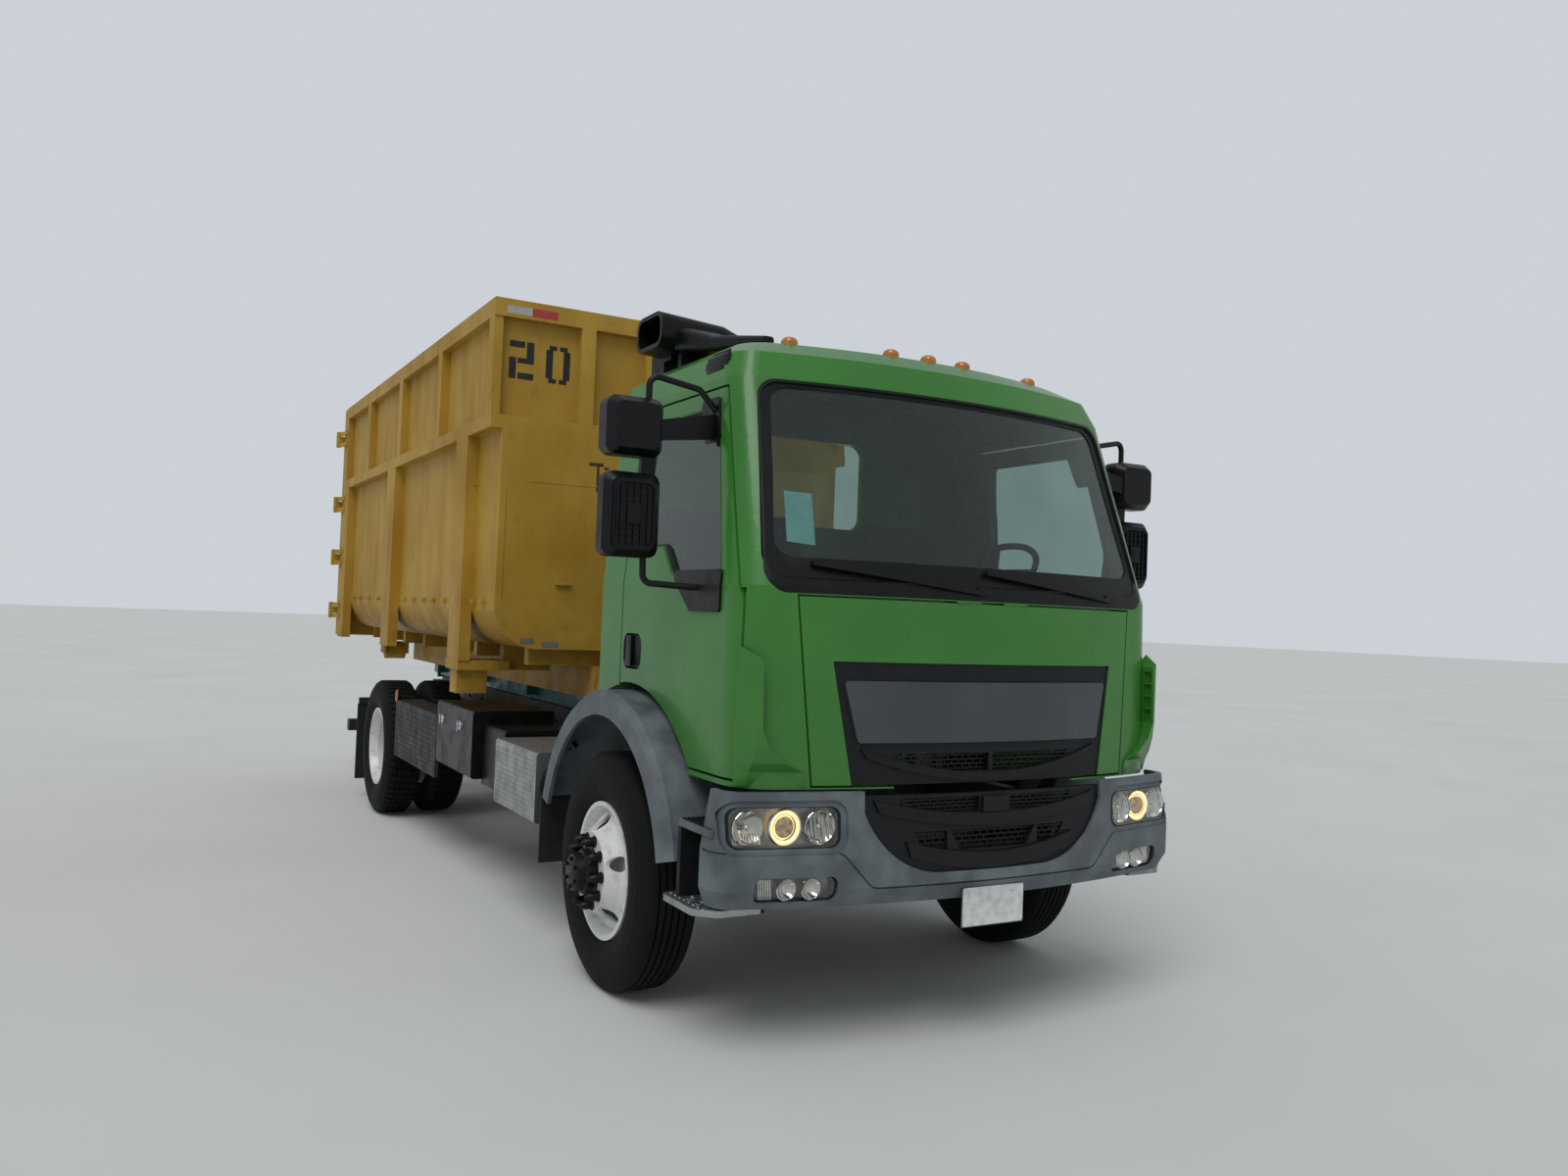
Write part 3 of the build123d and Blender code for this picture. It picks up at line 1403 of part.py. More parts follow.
def bumper_skin(front, back):
    """Put the band of the bumper between two depths under its face into the current part."""
    for depth, mode in ((front, Mode.ADD), (back, Mode.SUBTRACT)):
        rows = [
            bumper_section(height, front_x - depth, half - depth, BUMPER_CORNER_R - depth)
            for height, front_x, half in BUMPER_SECTIONS
        ]
        loft(rows, ruled=True, mode=mode)


def lower_grille_outline(grow=0.0):
    """Front view of the U-shaped opening in the middle of the bumper."""
    with BuildSketch(Plane.YZ.offset(X_FA + 900)) as outline:
        with BuildLine():
            Line(
                (LOWER_GRILLE_HALF + grow, BUMPER_TOP + 20),
                (-LOWER_GRILLE_HALF - grow, BUMPER_TOP + 20),
            )
            Line(
                (-LOWER_GRILLE_HALF - grow, BUMPER_TOP + 20),
                (-LOWER_GRILLE_HALF - grow, LOWER_GRILLE_TOP - 60),
            )
            ThreePointArc(
                (-LOWER_GRILLE_HALF - grow, LOWER_GRILLE_TOP - 60),
                (-LOWER_GRILLE_HALF * 0.78 - grow * 0.7, LOWER_GRILLE_BOTTOM + 70 - grow * 0.7),
                (-250, LOWER_GRILLE_BOTTOM - grow),
            )
            Line((-250, LOWER_GRILLE_BOTTOM - grow), (250, LOWER_GRILLE_BOTTOM - grow))
            ThreePointArc(
                (250, LOWER_GRILLE_BOTTOM - grow),
                (LOWER_GRILLE_HALF * 0.78 + grow * 0.7, LOWER_GRILLE_BOTTOM + 70 - grow * 0.7),
                (LOWER_GRILLE_HALF + grow, LOWER_GRILLE_TOP - 60),
            )
            Line(
                (LOWER_GRILLE_HALF + grow, LOWER_GRILLE_TOP - 60),
                (LOWER_GRILLE_HALF + grow, BUMPER_TOP + 20),
            )
        make_face()
    return outline.sketch


def lamp_outline(grow=0.0, openings=LAMP_OPENINGS):
    """Front view of the openings for head and fog lamps, both sides."""
    with BuildSketch(Plane.YZ.offset(BUMPER_REAR_X + 20)) as outline:
        for inner, outer, low, high, radius in openings:
            for side in SIDES:
                with Locations((side * (inner + outer) / 2, (low + high) / 2)):
                    RectangleRounded(
                        outer - inner + 2 * grow, high - low + 2 * grow, radius + grow
                    )
    return outline.sketch


GROOVE_W = 8
LAMP_RECESS = 10
with BuildPart() as bumper_groove:
    bumper_skin(-5, GROOVE_W)
    with BuildSketch(Plane.YZ.offset(BUMPER_REAR_X + 20)):
        with BuildLine():
            FilletPolyline(
                (-BUMPER_HALF - 20, BUMPER_SPLIT),
                (-690, BUMPER_SPLIT - 4),
                (-560, 656),
                (560, 656),
                (690, BUMPER_SPLIT - 4),
                (BUMPER_HALF + 20, BUMPER_SPLIT),
                radius=70,
            )
        trace(line_width=GROOVE_W)
    extrude(amount=SKIN_REACH, mode=Mode.INTERSECT)

with BuildPart() as lamp_recess:
    bumper_skin(-5, LAMP_RECESS)
    extrude(lamp_outline(24, LAMP_OPENINGS[:1]), amount=SKIN_REACH, mode=Mode.INTERSECT)

with BuildPart() as front_bumper:
    bumper_skin(0, BUMPER_T)
    add(bumper_groove.part, mode=Mode.SUBTRACT)
    add(lamp_recess.part, mode=Mode.SUBTRACT)
    extrude(lower_grille_outline(SEAT), amount=SKIN_REACH, mode=Mode.SUBTRACT)
    extrude(lamp_outline(), amount=SKIN_REACH, mode=Mode.SUBTRACT)
    # Arms back to the frame rails' front ends
    for side in SIDES:
        bar(
            (RAIL_FRONT_X + SEAT, BUMPER_FRONT_X - BUMPER_T - 10),
            across(side, RAIL_INNER_Y, RAIL_OUTER_Y + 14),
            (655, 694),
        )
        bar(
            (RAIL_FRONT_X - 90, RAIL_FRONT_X + 60),
            across(side, RAIL_OUTER_Y + SEAT, RAIL_OUTER_Y + 14),
            (655, 780),
        )
    # Bracket for the number plate under the middle of the bumper, with its two screw holes
    plate_front = BUMPER_FRONT_X - 8
    bar(
        (plate_front - PLATE_T, plate_front),
        (-PLATE_W / 2, PLATE_W / 2),
        (PLATE_CENTRE_Z - PLATE_H / 2, BUMPER_BOTTOM + 40),
    )
    for side in SIDES:
        pin(
            (plate_front, side * PLATE_HOLE_SPACING / 2, PLATE_CENTRE_Z + 57),
            PLATE_HOLE_R,
            4 * PLATE_T,
            (1, 0, 0),
            mode=Mode.SUBTRACT,
        )
save(front_bumper, "front_bumper")

LOWER_GRILLE_RECESS = 14
with BuildPart() as lower_lips:
    bumper_skin(1, LOWER_GRILLE_RECESS + 8)
    extrude(lips_outline(LOWER_LIPS), amount=SKIN_REACH, mode=Mode.INTERSECT)

with BuildPart() as lower_grille:
    bumper_skin(LOWER_GRILLE_RECESS, LOWER_GRILLE_RECESS + 20)
    extrude(lower_grille_outline(), amount=SKIN_REACH, mode=Mode.INTERSECT)
    bar(
        (X_FA + 700, X_FRONT + 50),
        (-CAB_HALF, CAB_HALF),
        (LOWER_GRILLE_TOP, BUMPER_TOP + 60),
        mode=Mode.SUBTRACT,
    )
    meshed_slots(LOWER_SLOTS, BUMPER_FRONT_X - BUMPER_T - 22)
    add(lower_lips.part)
    # Square cover between the two upper slots
    bar(
        (BUMPER_FRONT_X - LOWER_GRILLE_RECESS - 22, BUMPER_FRONT_X - 6),
        (-66, 66),
        (LOWER_SLOTS[0][2] - 4, LOWER_SLOTS[0][3]),
    )
save(lower_grille, "lower_grille")

with BuildPart() as front_lamps:
    bumper_skin(LAMP_RECESS + 2, 60)
    extrude(lamp_outline(-SEAT), amount=SKIN_REACH, mode=Mode.INTERSECT)
save(front_lamps, "front_lamps")

# Front fenders: turned round the axle line from an L section, with the flap behind
FENDER_ANGLES = (14, 164)
with BuildPart() as front_fenders:
    for side in SIDES:
        start = FENDER_ANGLES[0]
        section = Plane(
            origin=(X_FA, 0, AXLE_Z),
            x_dir=(0, 1, 0),
            z_dir=(sin(radians(start)), 0, -cos(radians(start))),
        )
        flip = 1 if section.y_dir.X > 0 else -1
        with BuildSketch(section):
            with BuildLine():
                Polyline(
                    (side * FENDER_OUTER_Y, flip * (FENDER_R - FENDER_LIP)),
                    (side * FENDER_OUTER_Y, flip * (FENDER_R - 30)),
                    (side * (FENDER_OUTER_Y - 30), flip * FENDER_R),
                    (side * FENDER_INNER_Y, flip * FENDER_R),
                    (side * FENDER_INNER_Y, flip * (FENDER_R - FENDER_T)),
                    (side * (FENDER_OUTER_Y - 40), flip * (FENDER_R - FENDER_T)),
                    (side * (FENDER_OUTER_Y - FENDER_T), flip * (FENDER_R - 40)),
                    (side * (FENDER_OUTER_Y - FENDER_T), flip * (FENDER_R - FENDER_LIP)),
                    close=True,
                )
            make_face()
        revolve(
            axis=Axis((X_FA, 0, AXLE_Z), (0, -1, 0)),
            revolution_arc=FENDER_ANGLES[1] - FENDER_ANGLES[0],
        )
        # Arm from the frame rail up to the fender's inner edge
        post_outer = FENDER_INNER_Y + FENDER_POST_W
        bar(
            (X_FA - FENDER_POST_W / 2, X_FA + FENDER_POST_W / 2),
            across(side, RAIL_OUTER_Y + SEAT, post_outer),
            (RAIL_TOP - 70, RAIL_TOP - 70 + FENDER_POST_W),
        )
        bar(
            (X_FA - FENDER_POST_W / 2, X_FA + FENDER_POST_W / 2),
            across(side, FENDER_INNER_Y, post_outer),
            (RAIL_TOP - 70, AXLE_Z + FENDER_R - FENDER_T / 2),
        )
save(front_fenders, "front_fenders")

# Cab steps: a grip-topped step in the bumper's corner and a round-ended plate below it
with BuildPart() as cab_steps:
    for side in SIDES:
        with BuildSketch(Plane.XY.offset(560)) as plate:
            with BuildLine():
                Polyline(
                    (X_FA + 720, side * 930),
                    (X_FA + 1060, side * 930),
                    (X_FA + 1060, side * 1120),
                    (X_FA + 990, side * 1195),
                    (X_FA + 720, side * 1195),
                    close=True,
                )
            make_face()
            fillet(plate.vertices().filter_by(lambda corner: abs(corner.Y) > 1100), radius=30)
        extrude(amount=22)
        # Grip holes
        with Locations((X_FA + 860, side * 1075, 571)):
            with GridLocations(80, 60, 3, 3):
                Cylinder(14, 30, mode=Mode.SUBTRACT)
        bar((X_FA + 785, BUMPER_REAR_X - 2), across(side, 940, 1165), (848, 874))
        bar((X_FA + 785, X_FA + 810), across(side, 940, 1165), (582, 848))
        bar((X_FA + 785, X_FA + 825), across(side, RAIL_OUTER_Y + SEAT, 940), (800, 850))
save(cab_steps, "cab_steps")


# Boxes along the sides

def side_box(x_rear, x_front, inner, outer, bottom, top, side, corner=20):
    """A box hung beside the rail, its outer edges rounded, with its two brackets."""
    with BuildSketch(Plane.YZ.offset(x_rear)) as face:
        with Locations((side * (inner + outer) / 2, (bottom + top) / 2)):
            Rectangle(outer - inner, top - bottom)
        fillet(face.vertices(), radius=corner)
    extrude(face.sketch, amount=x_front - x_rear)
    for share in (0.2, 0.8):
        x = x_rear + share * (x_front - x_rear)
        middle = (max(bottom, RAIL_BOTTOM) + min(top, RAIL_TOP)) / 2
        bar(
            (x - 25, x + 25),
            across(side, RAIL_OUTER_Y + SEAT, inner + 10),
            (middle - 50, middle + 50),
        )


BOX_OUTER = 1200
with BuildPart() as tread_box:
    side_box(X_FA - 1565, X_FA - 850, 760, BOX_OUTER, 575, 930, -1)
save(tread_box, "tread_plate_box")

with BuildPart() as black_boxes:
    side_box(X_FA - 2920, X_FA - 2060, 700, BOX_OUTER, 630, 1030, -1)
    side_box(X_FA - 2040, X_FA - 1600, 700, BOX_OUTER - 60, 600, 960, -1)
save(black_boxes, "tool_boxes")

TANK_R = 300
with BuildPart() as fuel_tank:
    tank = Plane.YZ.offset(X_FA - 1990)
    with BuildSketch(tank):
        with Locations((BOX_OUTER - TANK_R, 720)):
            Circle(TANK_R)
    extrude(amount=1090)
    for share in (0.2, 0.8):
        x = X_FA - 1990 + share * 1090
        bar((x - 25, x + 25), (RAIL_OUTER_Y + SEAT, BOX_OUTER - 2 * TANK_R + 40), (700, 800))
save(fuel_tank, "fuel_tank")

EXHAUST_R = 190
EXHAUST_Y = 960
with BuildPart() as exhaust:
    with BuildSketch(Plane.YZ.offset(X_FA - 2900)):
        with Locations((EXHAUST_Y, 790)):
            Circle(EXHAUST_R)
    extrude(amount=840)
    for place in (-2760, -2200):
        bar(
            (X_FA + place - 25, X_FA + place + 25),
            (RAIL_OUTER_Y + SEAT, EXHAUST_Y - EXHAUST_R + 20),
            (740, 840),
        )
save(exhaust, "exhaust")

# Guards ahead of the rear wheels and mudguards behind them
with BuildPart() as side_guards:
    for side in SIDES:
        bar((X_FA - 4200, X_FA - 2940), across(side, 1176, BOX_OUTER), (520, 930))
        bar((X_FA - 4200, X_FA - 2940), across(side, 1010, BOX_OUTER), (905, 930))
        for x in (X_FA - 3900, X_FA - 3250):
            bar((x - 30, x + 30), across(side, RAIL_OUTER_Y + SEAT, 1180), (845, 904))
save(side_guards, "side_guards")

REAR_FLAP_X = X_RA - 745
FRONT_FLAP_X = X_FA - FENDER_R * cos(radians(180 - FENDER_ANGLES[1])) - SEAT
with BuildPart() as mud_flaps:
    for side in SIDES:
        bar(
            (FRONT_FLAP_X - 14, FRONT_FLAP_X),
            across(side, FENDER_INNER_Y + 20, FENDER_OUTER_Y - 4),
            (400, 745),
        )
        bar(
            (REAR_FLAP_X - 8, REAR_FLAP_X + 8),
            across(side, REAR_INNER_Y - TYRE_HALF - 10, REAR_OUTER_Y + TYRE_HALF),
            (160, 790),
        )
        bar(
            (REAR_FLAP_X - 25, REAR_FLAP_X + 25),
            across(side, RAIL_OUTER_Y + SEAT, REAR_OUTER_Y + TYRE_HALF - 10),
            (790, 840),
        )
save(mud_flaps, "mud_flaps")

UNDERRIDE_X = RAIL_REAR_X - 120
with BuildPart() as rear_bumper:
    bar((UNDERRIDE_X - 50, UNDERRIDE_X + 50), (-1150, 1150), (470, 570))
    for side in SIDES:
        bar(
            (RAIL_REAR_X - 60, RAIL_REAR_X + 260),
            across(side, RAIL_OUTER_Y + SEAT, RAIL_OUTER_Y + 12),
            (RAIL_BOTTOM - 126, RAIL_BOTTOM + 120),
        )
        bar(
            (UNDERRIDE_X - 40, RAIL_REAR_X + 60),
            across(side, RAIL_OUTER_Y + SEAT, RAIL_OUTER_Y + 12),
            (500, RAIL_BOTTOM - 60),
        )
        bar(
            (UNDERRIDE_X - 64, UNDERRIDE_X - 50),
            across(side, 780, 1090),
            (480, 560),
        )
save(rear_bumper, "rear_bumper")


# Hoist

HOIST_TUBE_TOP = BARREL_PIVOT_Z - 56
HOIST_TUBE_H = 42
TILT_INNER = TILT_RAIL_OUTER - TILT_RAIL_W
REST_PADS_AT = (-1900, -3500, -5100)
with BuildPart() as hoist_subframe:
    for side in SIDES:
        bar(
            (HINGE_X + 160, X_FA - 1200),
            across(side, RAIL_INNER_Y, RAIL_OUTER_Y - 2),
            (RAIL_TOP, SUBFRAME_TOP),
        )
        # Pads that the lowered tilt frame rests on
        for place in REST_PADS_AT:
            x = X_FA + place
            bar(
                (x - 80, x + 80),
                across(side, TILT_INNER + 10, RAIL_OUTER_Y - 12),
                (SUBFRAME_TOP, TILT_BOTTOM - SEAT),
            )
        # Rear hinge bearings, on brackets beside the rail's end
        with BuildSketch(side_plane(side * (RAIL_INNER_Y - SEAT))):
            with BuildLine():
                Polyline(
                    (HINGE_X + 220, RAIL_BOTTOM + 100),
                    (HINGE_X + 220, RAIL_TOP + 20),
                    (HINGE_X + 50, HINGE_Z - 14),
                    (HINGE_X + 50, HINGE_Z),
                )
                ThreePointArc(
                    (HINGE_X + 50, HINGE_Z), (HINGE_X, HINGE_Z + 50), (HINGE_X - 50, HINGE_Z)
                )
                Polyline(
                    (HINGE_X - 50, HINGE_Z),
                    (HINGE_X - 90, RAIL_BOTTOM + 100),
                    (HINGE_X + 220, RAIL_BOTTOM + 100),
                )
            make_face()
        extrude(amount=side * 40)
    pin((HINGE_X, 0, HINGE_Z), 30, 2 * RAIL_OUTER_Y)
    # Cross tube that the cylinders push from
    for side in SIDES:
        for plate in (CYLINDER_Y - 62, CYLINDER_Y + 46):
            bar(
                (BARREL_PIVOT_X - 45, BARREL_PIVOT_X + 60),
                across(side, plate, plate + 16),
                (HOIST_TUBE_TOP, BARREL_PIVOT_Z + 45),
            )
        pin((BARREL_PIVOT_X, side * CYLINDER_Y, BARREL_PIVOT_Z), 25, 124)
    bar(
        (BARREL_PIVOT_X - 45, BARREL_PIVOT_X + 45),
        (-CROSS_HALF + SEAT, CROSS_HALF - SEAT),
        (HOIST_TUBE_TOP - HOIST_TUBE_H, HOIST_TUBE_TOP),
    )
save(hoist_subframe, "hoist_subframe")

PAD_OUTER = SILL_INNER + SILL_T
PADS_AT = (-2150, -3300, -4600, -5900)
with BuildPart() as tilt_frame:
    for side in SIDES:
        bar(
            (HINGE_X + 90, TILT_FRONT_X),
            across(side, TILT_INNER, TILT_RAIL_OUTER),
            (TILT_BOTTOM, TILT_TOP),
        )
        # Bearing that turns on the hinge shaft, inside the subframe's plates
        with BuildSketch(side_plane(side * 300)):
            with BuildLine():
                Polyline(
                    (HINGE_X + 140, TILT_TOP),
                    (HINGE_X - 20, TILT_TOP - 40),
                    (HINGE_X - 48, HINGE_Z),
                )
                ThreePointArc(
                    (HINGE_X - 48, HINGE_Z), (HINGE_X, HINGE_Z - 48), (HINGE_X + 48, HINGE_Z)
                )
                Polyline(
                    (HINGE_X + 48, HINGE_Z),
                    (HINGE_X + 140, TILT_BOTTOM),
                    (HINGE_X + 140, TILT_TOP),
                )
            make_face()
        extrude(amount=side * 60)
        # Roller pads that carry the container's sills
        for place in PADS_AT:
            x = X_FA + place
            bar(
                (x - 60, x + 60),
                across(side, TILT_RAIL_OUTER, PAD_OUTER),
                (SILL_BOTTOM - 70, SILL_BOTTOM - SEAT),
            )
    pin((HINGE_X, 0, HINGE_Z), 30 + SEAT, 2 * RAIL_OUTER_Y, mode=Mode.SUBTRACT)
save(tilt_frame, "tilt_frame")

# Cross bars between the two rails, the second with the plates beside the rods' eyes
EYE_BAR_X = ROD_PIVOT_X - 350
with BuildPart() as tilt_cross_bars:
    for x in (HINGE_X + 200, EYE_BAR_X, X_FA - 3300, X_FA - 2150):
        bar((x - 50, x + 50), (-TILT_INNER, TILT_INNER), (TILT_TOP - TILT_BAR_H, TILT_TOP))
    for side in SIDES:
        for plate in (CYLINDER_Y - 66, CYLINDER_Y + 50):
            bar(
                (EYE_BAR_X - 50, ROD_PIVOT_X + 50),
                across(side, plate, plate + 16),
                (ROD_PIVOT_Z - 42, TILT_TOP - TILT_BAR_H - SEAT),
            )
save(tilt_cross_bars, "tilt_cross_bars")

JIB_BOTTOM = TILT_TOP + 6
JIB_TUBE_TOP = JIB_BOTTOM + 150
with BuildPart() as jib:
    with BuildSketch(side_plane(JIB_W / 2)):
        with BuildLine():
            Polyline(
                (X_FA - 3400, JIB_BOTTOM),
                (X_FA - 3400, JIB_TUBE_TOP),
                (JIB_MAST_X - 90, JIB_TUBE_TOP),
                (JIB_MAST_X - 50, JIB_TUBE_TOP + 60),
                (JIB_MAST_X - 50, JIB_TOP - 120),
                (HOOK_BAR_X + 40, JIB_TOP + 30),
                (HOOK_BAR_X + 40, JIB_TOP + 110),
                (JIB_MAST_X + 60, JIB_TOP + 10),
                (JIB_MAST_X + 110, JIB_BOTTOM + 260),
                (JIB_MAST_X + 110, JIB_BOTTOM),
                close=True,
            )
        make_face()
    extrude(amount=JIB_W)
    # Hook, open at its lower rear
    with BuildSketch(side_plane(30)):
        with Locations((HOOK_BAR_X, HOOK_BAR_Z)):
            Circle(95)
            Circle(HOOK_BAR_R + 4, mode=Mode.SUBTRACT)
        with Locations((HOOK_BAR_X, HOOK_BAR_Z - 60)):
            Rectangle(2 * (HOOK_BAR_R + 4), 120, mode=Mode.SUBTRACT)
        with Locations((HOOK_BAR_X + 30, HOOK_BAR_Z + 90)):
            Rectangle(90, 80)
    extrude(amount=60)
save(jib, "jib_and_hook")

# Lift cylinders, both sides on one pivot line
REACH = hypot(ROD_PIVOT_X - BARREL_PIVOT_X, ROD_PIVOT_Z - BARREL_PIVOT_Z)
CYLINDER_DIR = Vector(ROD_PIVOT_X - BARREL_PIVOT_X, 0, ROD_PIVOT_Z - BARREL_PIVOT_Z).normalized()
BARREL_LEN = 1380
BARREL_START = 72
with BuildPart() as barrels:
    for side in SIDES:
        base = Vector(BARREL_PIVOT_X, side * CYLINDER_Y, BARREL_PIVOT_Z)
        with BuildSketch(Plane(origin=base + CYLINDER_DIR * BARREL_START, z_dir=CYLINDER_DIR)):
            Circle(BARREL_R)
        extrude(amount=BARREL_LEN - BARREL_START)
        with BuildSketch(Plane(origin=base + CYLINDER_DIR * 120, z_dir=CYLINDER_DIR)):
            Circle(ROD_R + SEAT)
        extrude(amount=BARREL_LEN, mode=Mode.SUBTRACT)
        pin(tuple(base), 52, 70)
        with BuildSketch(Plane(origin=base + CYLINDER_DIR * 30, z_dir=CYLINDER_DIR)):
            Rectangle(70, 90)
        extrude(amount=50)
        pin(tuple(base), 25 + SEAT, 90, mode=Mode.SUBTRACT)
save(barrels, "lift_barrels")

with BuildPart() as rods:
    for side in SIDES:
        base = Vector(BARREL_PIVOT_X, side * CYLINDER_Y, BARREL_PIVOT_Z)
        with BuildSketch(Plane(origin=base + CYLINDER_DIR * 130, z_dir=CYLINDER_DIR)):
            Circle(ROD_R)
        extrude(amount=REACH - 130)
        tip = base + CYLINDER_DIR * REACH
        pin(tuple(tip), 50, 58)
save(rods, "lift_rods")


# Container

def tub_line(inset):
    """Points of the tub's section from the top of one wall to the top of the other."""
    wall = LOWER_HALF - inset
    foot = FLOOR_HALF - inset * 0.4
    floor = FLOOR_Z + inset
    knee = ((wall + foot) / 2 + 36 - inset * 0.2, (FOLD_Z + floor) / 2 - 36 + inset * 0.2)
    return wall, foot, floor, knee


with BuildPart() as container_walls:
    outer = tub_line(0)
    inner = tub_line(SHEET_T)
    with BuildSketch(Plane.YZ.offset(BOX_REAR_X)):
        with BuildLine():
            for (wall, foot, floor, knee), turn in ((outer, 1), (inner, -1)):
                Line((-wall * turn, MID_RAIL_BOTTOM), (-wall * turn, FOLD_Z))
                ThreePointArc(
                    (-wall * turn, FOLD_Z), (-knee[0] * turn, knee[1]), (-foot * turn, floor)
                )
                Line((-foot * turn, floor), (foot * turn, floor))
                ThreePointArc(
                    (foot * turn, floor), (knee[0] * turn, knee[1]), (wall * turn, FOLD_Z)
                )
                Line((wall * turn, FOLD_Z), (wall * turn, MID_RAIL_BOTTOM))
            Line((-outer[0], MID_RAIL_BOTTOM), (-inner[0], MID_RAIL_BOTTOM))
            Line((outer[0], MID_RAIL_BOTTOM), (inner[0], MID_RAIL_BOTTOM))
        make_face()
    extrude(amount=BOX_FRONT_X - BOX_REAR_X)
    # Front plate of the tub
    with BuildSketch(Plane.YZ.offset(BOX_FRONT_X - SHEET_T)):
        wall, foot, floor, knee = outer
        with BuildLine():
            Polyline((-wall, FOLD_Z), (-wall, MID_RAIL_BOTTOM), (wall, MID_RAIL_BOTTOM), (wall, FOLD_Z))
            ThreePointArc((wall, FOLD_Z), knee, (foot, floor))
            Line((foot, floor), (-foot, floor))
            ThreePointArc((-foot, floor), (-knee[0], knee[1]), (-wall, FOLD_Z))
        make_face()
    extrude(amount=SHEET_T)
    # Upper walls, three sides
    upper_top = BOX_TOP - TOP_RAIL_H
    for side in SIDES:
        bar(
            (BOX_REAR_X, BOX_FRONT_X - FRONT_SETBACK),
            across(side, UPPER_HALF - SHEET_T, UPPER_HALF),
            (MID_RAIL_BOTTOM, upper_top + 10),
        )
    bar(
        (BOX_FRONT_X - FRONT_SETBACK - SHEET_T, BOX_FRONT_X - FRONT_SETBACK),
        (-UPPER_HALF, UPPER_HALF),
        (MID_RAIL_BOTTOM, upper_top + 10),
    )
save(container_walls, "container_walls")

# Upper posts, as distances behind the front axle, and their widths along x
UPPER_POSTS = ((-1955, 100), (-3210, 105), (-4450, 115), (-5720, 120), (-6810, 100))
# Lower stanchions: rear edge, front edge
STANCHIONS = ((-2660, -2390), (-4820, -4530), (-6858, -6600))
with BuildPart() as container_frame:
    # Top and middle rails, each round three sides
    for span in ((BOX_TOP - TOP_RAIL_H, BOX_TOP), (MID_RAIL_BOTTOM, MID_RAIL_TOP)):
        for side in SIDES:
            bar((BOX_REAR_X, BOX_FRONT_X), across(side, UPPER_HALF + SEAT, BOX_HALF), span)
        bar(
            (BOX_FRONT_X - FRONT_SETBACK + SEAT, BOX_FRONT_X),
            (-UPPER_HALF - SEAT, UPPER_HALF + SEAT),
            span,
        )
save(container_frame, "container_frame")

FRONT_POSTS_AT = (-640, -215, 215, 640)
with BuildPart() as container_posts:
    for side in SIDES:
        for centre, width in UPPER_POSTS:
            x = X_FA + centre
            bar(
                (x - width / 2, x + width / 2),
                across(side, UPPER_HALF + SEAT, BOX_HALF),
                (MID_RAIL_TOP, BOX_TOP - TOP_RAIL_H),
            )
        for rear, front in STANCHIONS:
            bar(
                (X_FA + rear, X_FA + front),
                across(side, LOWER_HALF + SEAT, BOX_HALF),
                (BEARER_BOTTOM, MID_RAIL_BOTTOM),
            )
    for y in FRONT_POSTS_AT:
        bar(
            (BOX_FRONT_X - FRONT_SETBACK + SEAT, BOX_FRONT_X),
            (y - 45, y + 45),
            (MID_RAIL_TOP, BOX_TOP - TOP_RAIL_H),
        )
    # Gate hinges on the rear posts, each a pin between two lugs
    for z in HINGE_HEIGHTS:
        pin((GATE_HINGE_X, GATE_HINGE_Y, z), 10, 150, (0, 0, 1))
        for low in (z - 72, z + 32):
            pin((GATE_HINGE_X, GATE_HINGE_Y, low + 20), GATE_HINGE_R, 40, (0, 0, 1))
            with BuildSketch(Plane.XY.offset(low)):
                with BuildLine():
                    Polyline(
                        (GATE_HINGE_X - 4, GATE_HINGE_Y),
                        (GATE_HINGE_X - 4, GATE_HINGE_Y + 16),
                        (GATE_FRONT_X + 10, -BOX_HALF - 6),
                        (GATE_FRONT_X + 10, -BOX_HALF - SEAT),
                        (GATE_FRONT_X + HINGE_LUG_LEN, -BOX_HALF - SEAT),
                        (GATE_FRONT_X + HINGE_LUG_LEN, -BOX_HALF - 16),
                        (GATE_FRONT_X - 10, -BOX_HALF - 20),
                        close=True,
                    )
                make_face()
            extrude(amount=40)
save(container_posts, "container_posts")

# Floor frame: bearers under the tub, long sills, front legs, rear rollers
BEARER_AT = (-2010, -2525, -3150, -3900, -4675, -5400, -6100, -6730)
LEG_SPAN_Y = (1020, 1210)
with BuildPart() as container_floor:
    for place in BEARER_AT:
        x = X_FA + place
        bar((x - 40, x + 40), (-FLOOR_HALF, FLOOR_HALF), (BEARER_BOTTOM, FLOOR_Z - SEAT))
    for side in SIDES:
        bar(
            (BOX_REAR_X + 20, BOX_FRONT_X - 20),
            across(side, SILL_INNER, SILL_INNER + SILL_T),
            (SILL_BOTTOM, BEARER_BOTTOM),
        )
        # Collar and leg under the front stanchion
        bar(
            (X_FA - 2700, X_FA - 2400),
            across(side, FLOOR_HALF - 20, BOX_HALF - 2),
            (BEARER_BOTTOM - 60, BEARER_BOTTOM - SEAT),
        )
        bar((X_FA - 2600, X_FA - 2440), across(side, *LEG_SPAN_Y), (SILL_BOTTOM, BEARER_BOTTOM - 60))
        bar(
            (X_FA - 2565, X_FA - 2485),
            across(side, 600, FLOOR_HALF),
            (BEARER_BOTTOM - 60, BEARER_BOTTOM),
        )
        # Rear ground roller
        bar((X_FA - 6830, X_FA - 6640), across(side, 600, 620), (1170, BEARER_BOTTOM))
        bar((X_FA - 6830, X_FA - 6640), across(side, 800, 820), (1170, BEARER_BOTTOM))
        pin((X_FA - 6735, side * 710, 1200), 82, 178)
        pin((X_FA - 6735, side * 710, 1200), 22, 220)
save(container_floor, "container_floor")

